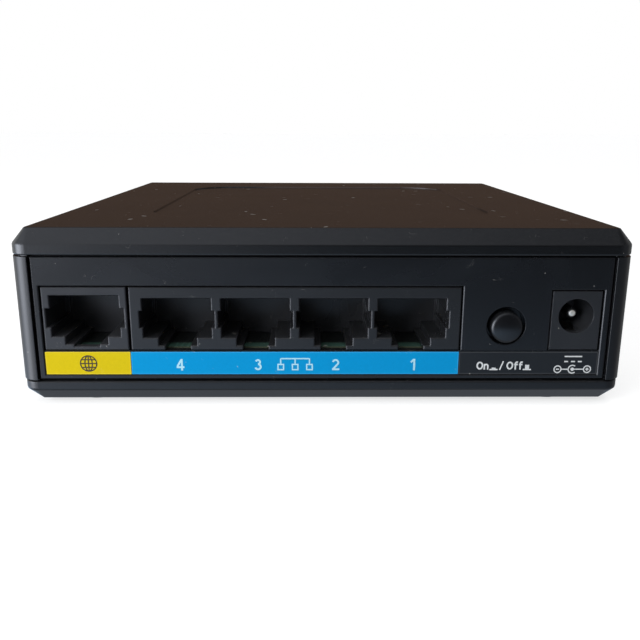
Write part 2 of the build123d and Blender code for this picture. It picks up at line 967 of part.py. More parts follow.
def make_antenna(side):
    """A folded metal strip: an arm above the board's edge on two legs."""
    outer = board_half - antenna_inset
    x_low, x_high = sorted((side * outer, side * (outer - antenna_width)))
    y_low = board_rear + antenna_y - antenna_length / 2
    y_high = y_low + antenna_length
    high = board_top + antenna_height
    arm = block(x_low, x_high, y_low, y_high, high - antenna_sheet, high)
    feed_y = y_low + antenna_length / 4
    for y in (y_low, feed_y):
        arm = arm + block(x_low, x_high, y, y + antenna_sheet, board_top, high)
    return arm


# Nodes

label_split = lan_left - jack_gap / 2
nodes = {
    "top_cover": make_top_cover(),
    "side_frame": make_side_frame(),
    "bottom_tray": make_bottom_tray(),
    "rear_panel": make_rear_panel(),
    "wan_label": make_label(wan_left - window_clear + label_clear, label_split - label_gap / 2),
    "lan_label": make_label(label_split + label_gap / 2, lan_right - label_gap / 2),
    "power_label": make_label(lan_right + label_gap / 2, dc_right + window_clear - label_clear),
    "main_board": make_main_board(),
    "wan_jack": make_jack(wan_left, wan_right, [wan_hollow(wan_x)]),
    "wan_contacts": make_contacts([wan_x], wan_roof),
    "wan_carrier": make_carrier(wan_x, wan_roof),
    "lan_jack": make_jack(lan_left, lan_right, [lan_hollow(x) for x in lan_ports]),
    "lan_contacts": make_contacts(lan_ports, lan_roof),
    "lan_carriers": group(make_carrier(x, lan_roof) for x in lan_ports),
    "dc_jack": make_dc_jack_housing(),
    "dc_pin": make_dc_pin(),
    "dc_leaf": make_dc_leaf(),
    "power_button": make_power_button(),
    "power_plunger": make_power_plunger(),
    "power_switch": make_power_switch(),
    "power_switch_pins": make_power_switch_pins(),
    "lamps": make_lamps(),
    "light_pipe": make_light_pipe(),
    "setup_button": make_setup_button(),
    "setup_stem": make_setup_stem(),
    "setup_switch": make_setup_switch(),
    "reset_stem": make_reset_stem(),
    "reset_switch": make_reset_switch(),
    "processor": chip(processor_x, processor_y, processor_size, processor_size, processor_height, 16, 16),
    "memory": chip(memory_x, memory_y, memory_width, memory_depth, memory_height, 22, 0),
    "flash_memory": chip(flash_x, flash_y, flash_size, flash_size, flash_height, 4, 0),
    "regulator": chip(regulator_x, regulator_y, regulator_size, regulator_size, regulator_height, 4, 0),
    "transformers": make_transformers(),
    "crystal": make_crystal(),
    "radio_shield": make_shield(),
    "inductor": make_inductor(),
    "capacitors": make_capacitors(),
    "antenna_left": make_antenna(-1),
    "antenna_right": make_antenna(1),
}
corners = {"rear_left": (-1, -1), "rear_right": (1, -1), "front_left": (-1, 1), "front_right": (1, 1)}
for name, (side, end) in corners.items():
    nodes["foot_" + name] = make_foot(side * foot_x, end * foot_y)
for name, (x, y) in zip(corners, columns):
    nodes["case_screw_" + name] = make_case_screw(x, y)

os.makedirs("parts", exist_ok=True)
for name, shape in nodes.items():
    export_step(shape, "parts/" + name + ".step")
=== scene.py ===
"""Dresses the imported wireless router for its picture.

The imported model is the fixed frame: every solid stays where it is and gets a finish made of shader nodes.
The marks printed on the strips under the sockets and over the lamps are added as thin pieces of ink.
Lengths are in metres, in the frame's own axes: the sockets face -Y, the lamps face +Y and Z is up.
"""

import logging
import math
from collections.abc import Sequence
from dataclasses import dataclass, field
from enum import Enum
from functools import partial, reduce

import bpy
import numpy as np
from mathutils import Matrix, Vector


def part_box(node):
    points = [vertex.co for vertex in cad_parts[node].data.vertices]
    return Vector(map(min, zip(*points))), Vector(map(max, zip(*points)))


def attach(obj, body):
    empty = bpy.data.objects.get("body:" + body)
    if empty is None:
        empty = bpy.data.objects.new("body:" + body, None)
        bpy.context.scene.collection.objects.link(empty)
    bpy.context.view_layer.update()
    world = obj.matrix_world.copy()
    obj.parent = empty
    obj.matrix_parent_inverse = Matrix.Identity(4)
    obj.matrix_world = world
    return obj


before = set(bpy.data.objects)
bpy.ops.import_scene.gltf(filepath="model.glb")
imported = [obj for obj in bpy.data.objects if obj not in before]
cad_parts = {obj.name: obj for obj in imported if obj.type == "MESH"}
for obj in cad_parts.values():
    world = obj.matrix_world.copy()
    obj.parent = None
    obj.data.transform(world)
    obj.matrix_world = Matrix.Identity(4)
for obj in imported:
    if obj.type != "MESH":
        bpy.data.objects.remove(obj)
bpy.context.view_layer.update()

LOG = logging.getLogger("router")
MM = 0.001

Colour = tuple[float, float, float]
Place = tuple[float, float, float]
Spot = tuple[float, float]
Range = tuple[float, float]
Socket = bpy.types.NodeSocket
Value = float | Sequence[float] | Socket
Surface = tuple[np.ndarray, np.ndarray]

WHITE: Colour = (1.0, 1.0, 1.0)
DUST_COLOUR: Colour = (0.34, 0.33, 0.31)


def scaled(colour: Colour, factor: float) -> Colour:
    """The colour made lighter or darker by a factor."""
    return tuple(min(1.0, part * factor) for part in colour)


# Shader trees


class Graph:
    """Adds nodes to one shader tree and joins them.

    A value given for a socket is a plain number, vector or colour, which is set on it, or another node's
    output, which is linked to it.
    """

    def __init__(self, tree: bpy.types.NodeTree) -> None:
        """Takes the tree that the nodes go into."""
        self.tree = tree

    def add(
        self, kind: str, values: dict[str | int, Value] | None = None, **settings: object
    ) -> bpy.types.Node:
        """Adds one node.

        Args:
            kind: Blender's name for the node's type.
            values: What goes into its inputs, by name or index.
            settings: Properties of the node itself.

        Returns:
            The new node.
        """
        node = self.tree.nodes.new(kind)
        for name, setting in settings.items():
            setattr(node, name, setting)
        for socket, value in (values or {}).items():
            self.feed(node.inputs[socket], value)
        return node

    def feed(self, socket: Socket, value: Value) -> None:
        """Sets an input to a plain value, or links an output to it.

        Args:
            socket: The input.
            value: A number, vector or colour, or another node's output.
        """
        if isinstance(value, bpy.types.NodeSocket):
            self.tree.links.new(value, socket)
        elif socket.type == "RGBA" and len(value) == 3:
            socket.default_value = (*value, 1.0)
        else:
            socket.default_value = value

    def math(self, operation: str, first: Value, second: Value = 0.0, clamp: bool = False) -> Socket:
        """One sum on numbers, by Blender's name for it, kept from 0 to 1 where it is clamped."""
        values = {0: first, 1: second}
        return self.add("ShaderNodeMath", values, operation=operation, use_clamp=clamp).outputs[0]

    def product(self, *values: Value) -> Socket:
        """Numbers multiplied together."""
        return reduce(partial(self.math, "MULTIPLY"), values)

    def vector(
        self, operation: str, first: Value, second: Value = (0.0, 0.0, 0.0)
    ) -> bpy.types.NodeOutputs:
        """One sum on vectors, as outputs: a vector first, and a number named Value."""
        return self.add("ShaderNodeVectorMath", {0: first, 1: second}, operation=operation).outputs

    def span(
        self, value: Value, low: float, high: float, to_low: float = 0.0, to_high: float = 1.0
    ) -> Socket:
        """Carries a number from one range over to another, smoothly and held at both ends."""
        values = {"Value": value, "From Min": low, "From Max": high, "To Min": to_low, "To Max": to_high}
        return self.add("ShaderNodeMapRange", values, interpolation_type="SMOOTHSTEP").outputs[0]

    def fade(self, value: Value, low: float, high: float) -> Socket:
        """Falls smoothly from 1 at the low end of a range to 0 at its high end."""
        return self.span(value, low, high, 1.0, 0.0)

    def blend(self, share: Value, first: Value, second: Value, how: str = "MIX") -> Socket:
        """Mixes two colours, by Blender's name for how; the share is how much the second one shows."""
        values = {0: share, 6: first, 7: second}
        return self.add("ShaderNodeMix", values, data_type="RGBA", blend_type=how).outputs[2]

    def lighter(self, first: Value, second: Value) -> Socket:
        """The lighter of two colours, part by part."""
        return self.blend(1.0, first, second, "LIGHTEN")

    def vary(self, share: Value, colour: Colour, low: float, high: float) -> Socket:
        """A colour that runs from one tone of itself at share 0 to another at share 1."""
        return self.blend(share, scaled(colour, low), scaled(colour, high))

    def scale(self, colour: Value, factor: Value) -> Socket:
        """A colour or vector times a number."""
        return self.add("ShaderNodeVectorMath", {0: colour, "Scale": factor}, operation="SCALE").outputs[0]

    def place(self) -> Socket:
        """The point's own place in the frame."""
        return self.add("ShaderNodeTexCoord").outputs["Object"]

    def level(self) -> Socket:
        """How level the face lies: 1 looking up, 0 upright and -1 looking down."""
        return self.parts(self.add("ShaderNodeNewGeometry").outputs["Normal"])[2]

    def parts(self, vector: Value) -> bpy.types.NodeOutputs:
        """The three parts of a vector."""
        return self.add("ShaderNodeSeparateXYZ", {0: vector}).outputs

    def draws(self, colour: Value) -> bpy.types.NodeOutputs:
        """The three parts of a cell's random colour."""
        return self.add("ShaderNodeSeparateColor", {0: colour}).outputs

    def noise(self, vector: Value, scale: Value, detail: float = 2.0, distortion: float = 0.0) -> Socket:
        """Soft random values from 0 to 1, whose scale counts lumps to the metre."""
        values = {"Vector": vector, "Scale": scale, "Detail": detail, "Distortion": distortion}
        return self.add("ShaderNodeTexNoise", values).outputs["Fac"]

    def inside(self, place: Value, low: Sequence[float], high: Sequence[float], soft: float) -> Socket:
        """Shows whether a place lies in an upright box.

        Args:
            place: The place.
            low: The box's lowest corner.
            high: The box's highest corner.
            soft: How wide its faces fade.

        Returns:
            1 inside the box and 0 outside it.
        """
        sides = []
        for part, start, end in zip(self.parts(place), low, high):
            sides.append(self.span(part, start - soft, start + soft))
            sides.append(self.fade(part, end - soft, end + soft))
        return self.product(*sides)

    def bump(self, depth: float, height: Value, **normal: Socket) -> Socket:
        """The normal, the plain one or the one given as Normal, leant by a height that counts in depths."""
        return self.add("ShaderNodeBump", {"Distance": depth, "Height": height, **normal}).outputs[0]


# Surface effects that several finishes share


class SurfaceEffect:
    """A shader node group that is built once and placed in each finish with its own values."""

    title = "effect"
    takes: dict[str, float] = {}
    gives: dict[str, str] = {}

    def tree(self) -> bpy.types.NodeTree:
        """The node group, built when it is first asked for.

        Returns:
            The group.
        """
        known = bpy.data.node_groups.get(self.title)
        if known is not None:
            return known
        tree = bpy.data.node_groups.new(self.title, "ShaderNodeTree")
        for name, value in self.takes.items():
            socket = tree.interface.new_socket(name, in_out="INPUT", socket_type="NodeSocketFloat")
            socket.default_value = value
        for name, kind in self.gives.items():
            tree.interface.new_socket(name, in_out="OUTPUT", socket_type=kind)
        graph = Graph(tree)
        graph.add("NodeGroupOutput", self.build(graph, graph.add("NodeGroupInput").outputs))
        return tree

    def build(self, graph: Graph, takes: bpy.types.NodeOutputs) -> dict[str, Socket]:
        """Fills the group from the values that it takes, and gives its results by name."""
        raise NotImplementedError

    def put(self, graph: Graph, **values: float) -> bpy.types.NodeOutputs:
        """Places the group in a finish with the values by name, and gives its outputs."""
        return graph.add("ShaderNodeGroup", values, node_tree=self.tree()).outputs


class MouldGrain(SurfaceEffect):
    """The fine grain that a spark-eroded mould leaves on plastic."""

    title = "mould_grain"
    takes = {"Size": 0.3 * MM}
    gives = {"Height": "NodeSocketFloat", "Tone": "NodeSocketFloat"}
    roundness = 0.6
    lump_share = 0.6
    cell_share = 0.5
    tone_scale = 160.0

    def build(self, graph: Graph, takes: bpy.types.NodeOutputs) -> dict[str, Socket]:
        """Lays soft noise over rounded cells of the grain's size, with a wide slow tone.

        Args:
            graph: The group's own nodes.
            takes: The grain's size.

        Returns:
            The grain's height and the tone, both about 0 to 1.
        """
        place = graph.place()
        scale = graph.math("DIVIDE", 1.0, takes["Size"])
        values = {"Vector": place, "Scale": scale, "Smoothness": self.roundness}
        cells = graph.add("ShaderNodeTexVoronoi", values, feature="SMOOTH_F1").outputs["Distance"]
        lumps = graph.product(graph.noise(place, scale), self.lump_share)
        height = graph.math("ADD", lumps, graph.product(cells, self.cell_share))
        return {"Height": height, "Tone": graph.noise(place, self.tone_scale, 5.0)}


class SettledDust(SurfaceEffect):
    """Specks and short fibres, with the lint and thin film that settle on faces that look up.

    A scale counts cells or lumps to the metre, and an edge is where a form starts and stops fading.
    """

    title = "settled_dust"
    takes = {"Amount": 0.5}
    gives = {"Mask": "NodeSocketFloat"}
    speck_scale = 900.0
    speck_edge = (0.05, 0.09)
    speck_share = 0.10
    fibre_scale = 700.0
    fibre_bend = 0.5
    fibre_edge = (0.003, 0.006)
    fibre_weight = 0.6
    stretch_scale = 520.0
    stretch_edge = (0.76, 0.78)
    film_scale = 1700.0
    film_edge = (0.4, 0.8)
    film_level = (0.2, 1.0)
    film_weight = 0.05
    lint_scale = 190.0
    lint_edge = (0.07, 0.17)
    lint_level = (0.8, 0.95)
    lint_share = 0.30
    lint_shape = (2.2, 1.0, 0.0)
    lint_weight = (0.10, 0.62)

    def build(self, graph: Graph, takes: bpy.types.NodeOutputs) -> dict[str, Socket]:
        """Adds up the four kinds of dust.

        A speck is a dot in the middle of a few random cells. A fibre is a short stretch of the line where a
        noise crosses its middle. Film is a noise; film and lint show on level faces only.

        Args:
            graph: The group's own nodes.
            takes: How much dust there is.

        Returns:
            Where the dust lies, from 0 to 1.
        """
        place = graph.place()
        level = graph.level()
        amount = takes["Amount"]
        cells = graph.add("ShaderNodeTexVoronoi", {"Vector": place, "Scale": self.speck_scale}).outputs
        chance = graph.draws(cells["Color"])[0]
        few = graph.math("LESS_THAN", chance, graph.product(amount, self.speck_share))
        speck = graph.product(graph.fade(cells["Distance"], *self.speck_edge), few)
        wave = graph.math("SUBTRACT", graph.noise(place, self.fibre_scale, 1.0, self.fibre_bend), 0.5)
        line = graph.fade(graph.math("ABSOLUTE", wave), *self.fibre_edge)
        stretch = graph.noise(place, self.stretch_scale, 0.0)
        short = graph.span(stretch, *self.stretch_edge, 0.0, self.fibre_weight)
        fibre = graph.product(line, short, amount)
        film = graph.span(graph.noise(place, self.film_scale, 5.0), *self.film_edge)
        film = graph.product(graph.span(level, *self.film_level), film, amount, self.film_weight)
        lint = graph.product(self.lint(graph, place, amount), graph.span(level, *self.lint_level))
        mask = graph.math("ADD", graph.math("ADD", speck, fibre), graph.math("ADD", film, lint), clamp=True)
        return {"Mask": mask}

    def lint(self, graph: Graph, place: Socket, amount: Socket) -> Socket:
        """Lint on a level face: in a few random cells, a dot drawn out along the cell's own random way.

        Args:
            graph: The group's own nodes.
            place: The point's place.
            amount: How much dust there is.

        Returns:
            Where the lint lies, from 0 to 1.
        """
        spread = graph.scale(place, self.lint_scale)
        values = {"Vector": spread, "Scale": 1.0}
        cells = graph.add("ShaderNodeTexVoronoi", values, voronoi_dimensions="2D").outputs
        way, chance, weight = graph.draws(cells["Color"])
        rare = graph.math("LESS_THAN", chance, graph.product(amount, self.lint_share))
        away = graph.vector("SUBTRACT", spread, cells["Position"])[0]
        values = {"Vector": away, "Angle": graph.product(way, math.tau)}
        turned = graph.add("ShaderNodeVectorRotate", values, rotation_type="Z_AXIS").outputs[0]
        far = graph.vector("LENGTH", graph.vector("MULTIPLY", turned, self.lint_shape)[0])["Value"]
        weight = graph.span(weight, 0.0, 1.0, *self.lint_weight)
        return graph.product(graph.fade(far, *self.lint_edge), rare, weight)


class SoftEdges(SurfaceEffect):
    """Edges rounded a little, and rubbed smooth by handling."""

    title = "soft_edges"
    takes = {"Radius": 0.15 * MM}
    gives = {"Mask": "NodeSocketFloat", "Normal": "NodeSocketVector"}
    turned = (0.80, 0.99)
    patch_scale = 700.0
    patch_edge = (0.3, 0.7)
    patch_weight = (0.35, 1.0)

    def build(self, graph: Graph, takes: bpy.types.NodeOutputs) -> dict[str, Socket]:
        """Compares the rounded normal with the plain one: they part where an edge is near.

        Args:
            graph: The group's own nodes.
            takes: The edge's radius.

        Returns:
            Where the edges are, and the rounded normal.
        """
        rounded = graph.add("ShaderNodeBevel", {"Radius": takes["Radius"]}, samples=6).outputs[0]
        plain = graph.add("ShaderNodeNewGeometry").outputs["Normal"]
        near = graph.fade(graph.vector("DOT_PRODUCT", rounded, plain)["Value"], *self.turned)
        patches = graph.noise(graph.place(), self.patch_scale, 4.0)
        patchy = graph.span(patches, *self.patch_edge, *self.patch_weight)
        return {"Mask": graph.product(near, patchy), "Normal": rounded}


class HandlingMarks(SurfaceEffect):
    """Wide faint smears that hands leave in the gloss."""

    title = "handling_marks"
    takes = {"Size": 25.0 * MM}
    gives = {"Value": "NodeSocketFloat"}
    bend = 1.2
    edge = (0.3, 0.7)

    def build(self, graph: Graph, takes: bpy.types.NodeOutputs) -> dict[str, Socket]:
        """Takes a drawn-out noise of the marks' size: 0 where a face is clean and 1 where it is marked."""
        scale = graph.math("DIVIDE", 1.0, takes["Size"])
        return {"Value": graph.span(graph.noise(graph.place(), scale, 6.0, self.bend), *self.edge)}


GRAIN = MouldGrain()
DUST = SettledDust()
EDGES = SoftEdges()
MARKS = HandlingMarks()


# Finishes


@dataclass(frozen=True)
class Finish:
    """What every finish has: a name, a colour and a roughness."""

    name: str
    colour: Colour
    roughness: float

    def material(self) -> bpy.types.Material:
        """Makes a material of one shader, fed with what the finish works out.

        Returns:
            The material.
        """
        material = bpy.data.materials.new(self.name)
        material.use_nodes = True
        material.node_tree.nodes.clear()
        material.diffuse_color = (*self.colour, 1.0)
        graph = Graph(material.node_tree)
        shader = graph.add("ShaderNodeBsdfPrincipled", self.inputs(graph))
        graph.add("ShaderNodeOutputMaterial", {"Surface": shader.outputs[0]})
        return material

    def inputs(self, graph: Graph) -> dict[str, Value]:
        """Works out what goes into the shader, by the names of its sockets."""
        raise NotImplementedError

    def shade(self, graph: Graph, colour: Socket) -> Socket:
        """The colour over the solid: the same all over, unless a finish says otherwise."""
        return colour


@dataclass(frozen=True)
class MouldedPlastic(Finish):
    """Moulded plastic with a fine grain, softened edges, handling marks and dust."""

    grain: float = 0.3 * MM
    depth: float = 0.010 * MM
    tone: Range = (0.86, 1.14)
    edge: float = 0.15 * MM
    edge_gain: float = 2.2
    edge_share: float = 0.30
    edge_polish: float = 0.20
    dust: float = 0.5
    dust_dulling: float = 0.4
    specular: float = 0.5
    smear: float = 0.06
    smear_size: float = 25.0 * MM

    def inputs(self, graph: Graph) -> dict[str, Value]:
        """Leads the grain into the bump, the marks into the gloss, and edges and dust into the colour.

        Args:
            graph: The finish's nodes.

        Returns:
            The shader's values, by the names of its sockets.
        """
        grain = GRAIN.put(graph, Size=self.grain)
        edges = EDGES.put(graph, Radius=self.edge)
        dust = DUST.put(graph, Amount=self.dust)["Mask"]
        marks = MARKS.put(graph, Size=self.smear_size)["Value"]
        worn = graph.product(edges["Mask"], self.edge_share)
        colour = graph.vary(grain["Tone"], self.colour, *self.tone)
        colour = graph.blend(worn, colour, scaled(self.colour, self.edge_gain))
        colour = graph.blend(dust, self.shade(graph, colour), DUST_COLOUR)
        half = self.smear / 2
        gloss = graph.span(marks, 0.0, 1.0, self.roughness + half, self.roughness - half)
        gloss = graph.math("SUBTRACT", gloss, graph.product(edges["Mask"], self.edge_polish))
        gloss = graph.math("ADD", gloss, graph.product(dust, self.dust_dulling), clamp=True)
        return {
            "Base Color": colour,
            "Roughness": gloss,
            "Specular IOR Level": self.specular,
            "Normal": graph.bump(self.depth, grain["Height"], Normal=edges["Normal"]),
        }


@dataclass(frozen=True)
class FieldedPlastic(MouldedPlastic):
    """Moulded plastic of the lid, with a painted reflection of warm light on the low step at the far side
    of its sunk field.
    """

    # The warm reflection of the lid's top, painted on the step's steep faces.
    painted_step_reflection: Colour = (0.045, 0.030, 0.024)
    steep: Range = (0.5, 0.98)
    step_low: Place = (-16.0 * MM, -20.0 * MM, 20.0 * MM)
    step_high: Place = (44.0 * MM, 44.0 * MM, 50.0 * MM)
    step_soft: float = 4.0 * MM

    def shade(self, graph: Graph, colour: Socket) -> Socket:
        """Paints a reflection of warm light where a face inside the box doesn't lie level.

        Args:
            graph: The finish's nodes.
            colour: The bare plastic's colour.

        Returns:
            The colour over the solid, with the painted reflection on the step.
        """
        there = graph.inside(graph.place(), self.step_low, self.step_high, self.step_soft)
        steep = graph.fade(graph.level(), *self.steep)
        return graph.blend(graph.product(there, steep), colour, self.painted_step_reflection)


@dataclass(frozen=True)
class SocketPlastic(MouldedPlastic):
    """Moulded plastic of a socket, painted paler deep inside: painted light where the socket's inside lies
    in shade.
    """

    grain: float = 0.15 * MM
    depth: float = 0.004 * MM
    edge: float = 0.26 * MM
    mouth: float = -55.0 * MM
    # Painted light: the depths behind the mouth over which the colour pales; inner is how much paler it
    # gets.
    painted_light_depths: Range = (5.0 * MM, 11.0 * MM)
    inner: float = 3.0

    def shade(self, graph: Graph, colour: Socket) -> Socket:
        """Pales the colour with the depth behind the mouth: painted light in the socket's shaded inside.

        Args:
            graph: The finish's nodes.
            colour: The colour at the mouth.

        Returns:
            The colour over the solid.
        """
        start, end = (self.mouth + behind for behind in self.painted_light_depths)
        deep = graph.span(graph.parts(graph.place())[1], start, end)
        return graph.blend(deep, colour, scaled(self.colour, self.inner))


@dataclass(frozen=True)
class WorkedMetal(Finish):
    """Bare or plated metal with fine drawing lines, counted to the metre, and slight tarnish."""

    lines: tuple[float, float, float] = (9000.0, 400.0, 9000.0)
    depth: float = 0.002 * MM
    gloss: Range = (-0.05, 0.08)
    tarnish: float = 0.25
    tarnish_scale: float = 500.0
    tarnish_edge: Range = (0.45, 0.75)
    tarnish_tint: Colour = (0.55, 0.50, 0.45)
    edge: float = 0.05 * MM
    metal: float = 1.0

    def inputs(self, graph: Graph) -> dict[str, Value]:
        """Draws the noise out along the lines for bump and gloss, and dulls the colour in patches.

        Args:
            graph: The finish's nodes.

        Returns:
            The shader's values, by the names of its sockets.
        """
        place = graph.place()
        drawn = graph.add("ShaderNodeMapping", {"Vector": place, "Scale": self.lines}).outputs[0]
        scratch = graph.noise(drawn, 1.0, 3.0)
        patch = graph.noise(place, self.tarnish_scale, 4.0)
        patch = graph.span(patch, *self.tarnish_edge, 0.0, self.tarnish)
        edges = EDGES.put(graph, Radius=self.edge)
        dull = tuple(part * share for part, share in zip(self.colour, self.tarnish_tint))
        smooth, rough = (self.roughness + change for change in self.gloss)
        return {
            "Base Color": self.shade(graph, graph.blend(patch, self.colour, dull)),
            "Metallic": self.metal,
            "Roughness": graph.math("ADD", graph.span(scratch, 0.2, 0.8, smooth, rough), patch),
            "Normal": graph.bump(self.depth, scratch, Normal=edges["Normal"]),
        }


@dataclass(frozen=True)
class TippedPin(WorkedMetal):
    """Plated metal of a round pin along Y, with a painted highlight at its tip and painted shade away from
    its axis.
    """

    axis: Place = (45.25 * MM, 0.0, 16.96 * MM)
    # Radius of the painted highlight at the tip, and how far it fades into the painted shade.
    bright: float = 0.46 * MM
    fall: float = 0.22 * MM
    painted_flank_shade: Colour = (0.030, 0.030, 0.032)

    def shade(self, graph: Graph, colour: Socket) -> Socket:
        """Paints shade with the distance from the pin's axis, leaving a painted highlight at the tip.

        Args:
            graph: The finish's nodes.
            colour: The colour at the tip.

        Returns:
            The colour over the solid.
        """
        away = graph.vector("SUBTRACT", graph.place(), self.axis)[0]
        across = graph.vector("MULTIPLY", away, (1.0, 0.0, 1.0))[0]
        far = graph.vector("LENGTH", across)["Value"]
        return graph.blend(graph.span(far, self.bright, self.bright + self.fall), colour, self.painted_flank_shade)


@dataclass(frozen=True)
class PrintedFilm(Finish):
    """Printed plastic film with a fine light line along its cut edge."""

    node: str = ""
    border: float = 0.16 * MM
    border_soft: float = 0.03 * MM
    border_lift: float = 0.02
    border_gain: float = 1.35
    ink_scale: float = 2600.0
    ink_tone: Range = (0.93, 1.07)
    depth: float = 0.004 * MM
    gloss: Range = (-0.05, 0.07)
    smear_size: float = 12.0 * MM
    specular: float = 0.25
    dust: float = 0.5
    dust_share: float = 0.8
    dust_colour: Colour = (0.75, 0.74, 0.70)

    def inputs(self, graph: Graph) -> dict[str, Value]:
        """Lightens a narrow band inside the strip's outline, and varies ink and gloss over the rest.

        Args:
            graph: The finish's nodes.

        Returns:
            The shader's values, by the names of its sockets.
        """
        place = graph.place()
        inset = Vector((self.border, -MM, self.border))
        low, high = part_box(self.node)
        inner = graph.inside(place, low + inset, high - inset, self.border_soft)
        ink = graph.noise(place, self.ink_scale, 3.0)
        rim = scaled(tuple(part + self.border_lift for part in self.colour), self.border_gain)
        colour = graph.blend(inner, rim, graph.vary(ink, self.colour, *self.ink_tone))
        dust = graph.product(DUST.put(graph, Amount=self.dust)["Mask"], self.dust_share)
        marks = MARKS.put(graph, Size=self.smear_size)["Value"]
        smooth, rough = (self.roughness + change for change in self.gloss)
        return {
            "Base Color": graph.blend(dust, colour, self.dust_colour),
            "Roughness": graph.span(marks, 0.0, 1.0, smooth, rough),
            "Specular IOR Level": self.specular,
            "Normal": graph.bump(self.depth, ink),
        }


@dataclass(frozen=True)
class PrintInk(Finish):
    """Thin screen-printed ink, a little uneven where it lies thin."""

    thin: Colour = (0.0, 0.0, 0.0)
    spot_scale: float = 7000.0
    spot_edge: Range = (0.58, 0.75)
    spot_share: float = 0.35
    gloss_scale: float = 3000.0
    gloss: float = 0.05
    depth: float = 0.003 * MM

    def inputs(self, graph: Graph) -> dict[str, Value]:
        """Lets what is under the ink show through in fine spots.

        Args:
            graph: The finish's nodes.

        Returns:
            The shader's values, by the names of its sockets.
        """
        place = graph.place()
        spots = graph.span(graph.noise(place, self.spot_scale, 3.0), *self.spot_edge, 0.0, self.spot_share)
        sheen = graph.noise(place, self.gloss_scale)
        smooth, rough = self.roughness - self.gloss, self.roughness + self.gloss
        return {
            "Base Color": graph.blend(spots, self.colour, self.thin),
            "Roughness": graph.span(sheen, 0.3, 0.7, smooth, rough),
            "Normal": graph.bump(self.depth, spots),
        }


@dataclass(frozen=True)
class CoatedLaminate(Finish):
    """Green coated board with fine copper runs under the coat, tinned dots, a bare cut edge and painted
    shade under the sockets.
    """

    run_pitch: float = 1.1 * MM
    run_edge: Range = (0.12, 0.16)
    run_gain: float = 1.6
    run_level: float = 0.45
    turn_scale: float = 55.0
    patch_scale: float = 90.0
    dot_scale: float = 260.0
    dot_edge: Range = (0.07, 0.09)
    tin: Colour = (0.60, 0.58, 0.52)
    depth: float = 0.03 * MM
    upright: Range = (0.3, 0.7)
    cut: Colour = (0.040, 0.046, 0.030)
    cut_tone: Range = (0.7, 1.3)
    cut_scale: float = 5000.0
    cut_roughness: float = 0.8
    # Painted shade: a near-black box on the board where the sockets stand over it, not a print.
    printed: Colour = (0.005, 0.006, 0.006)
    socket_shade_low: Place = (-50.0 * MM, -50.2 * MM, 8.0 * MM)
    socket_shade_high: Place = (25.0 * MM, -37.0 * MM, 12.0 * MM)
    socket_shade_soft: float = 0.5 * MM
    dust: float = 0.6

    def inputs(self, graph: Graph) -> dict[str, Value]:
        """Lightens the coat over the runs, tins dots, paints shade under the sockets and bares the cut
        edge.

        Runs are stripes at an even pitch along X or Y, whichever a noise picks. They show where another
        noise is high.

        Args:
            graph: The finish's nodes.

        Returns:
            The shader's values, by the names of its sockets.
        """
        place = graph.place()
        x, y, _ = graph.parts(place)
        turn = graph.math("GREATER_THAN", graph.noise(place, self.turn_scale, 0.0), 0.5)
        along = graph.math("ADD", x, graph.product(turn, graph.math("SUBTRACT", y, x)))
        step = graph.math("FRACT", graph.math("DIVIDE", along, self.run_pitch))
        stripe = graph.fade(graph.math("ABSOLUTE", graph.math("SUBTRACT", step, 0.5)), *self.run_edge)
        patch = graph.math("GREATER_THAN", graph.noise(place, self.patch_scale, 0.0), self.run_level)
        run = graph.product(stripe, patch)
        cells = graph.add("ShaderNodeTexVoronoi", {"Vector": place, "Scale": self.dot_scale}).outputs
        dot = graph.fade(cells["Distance"], *self.dot_edge)
        edge = graph.fade(graph.math("ABSOLUTE", graph.level()), *self.upright)
        colour = graph.blend(run, self.colour, scaled(self.colour, self.run_gain))
        colour = graph.blend(dot, colour, self.tin)
        # Painted shade under the sockets.
        socket_shade_box = graph.inside(place, self.socket_shade_low, self.socket_shade_high, self.socket_shade_soft)
        colour = graph.blend(socket_shade_box, colour, self.printed)
        fibre = graph.noise(place, self.cut_scale)
        colour = graph.blend(edge, colour, graph.vary(fibre, self.cut, *self.cut_tone))
        return {
            "Base Color": graph.blend(DUST.put(graph, Amount=self.dust)["Mask"], colour, DUST_COLOUR),
            "Roughness": graph.span(edge, 0.0, 1.0, self.roughness, self.cut_roughness),
            "Normal": graph.bump(self.depth, graph.math("ADD", run, dot)),
        }


@dataclass(frozen=True)
class ChipResin(Finish):
    """A chip's dark resin with a moulded dot at its first lead, and bright leads outside its body."""

    node: str = ""
    leads: float = 1.0 * MM
    along_x: bool = False
    body_soft: float = 0.02 * MM
    dot: float = 0.6 * MM
    dot_soft: float = 0.06 * MM
    dot_inset: float = 1.2 * MM
    dot_gain: float = 1.8
    grain: float = 0.12 * MM
    grain_height: float = 0.1
    tone: Range = (0.8, 1.25)
    depth: float = 0.06 * MM
    tin: Colour = (0.62, 0.61, 0.58)
    tin_roughness: float = 0.3

    def inputs(self, graph: Graph) -> dict[str, Value]:
        """Takes what stands out past the body for metal, and sinks a round dot near one corner.

        Args:
            graph: The finish's nodes.

        Returns:
            The shader's values, by the names of its sockets.
        """
        place = graph.place()
        low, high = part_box(self.node)
        reach = Vector((self.leads if self.along_x else -MM, self.leads, -MM))
        body = graph.inside(place, low + reach, high - reach, self.body_soft)
        corner = (low.x + abs(reach.x) + self.dot_inset, low.y + self.leads + self.dot_inset, high.z)
        far = graph.vector("DISTANCE", place, corner)["Value"]
        dot = graph.fade(far, self.dot - self.dot_soft, self.dot)
        grain = GRAIN.put(graph, Size=self.grain)
        colour = graph.vary(grain["Tone"], self.colour, *self.tone)
        colour = graph.blend(dot, colour, scaled(self.colour, self.dot_gain))
        height = graph.math("SUBTRACT", graph.product(grain["Height"], self.grain_height), dot)
        return {
            "Base Color": graph.blend(body, self.tin, colour),
            "Metallic": graph.fade(body, 0.4, 0.6),
            "Roughness": graph.span(body, 0.0, 1.0, self.tin_roughness, self.roughness),
            "Normal": graph.bump(self.depth, height),
        }


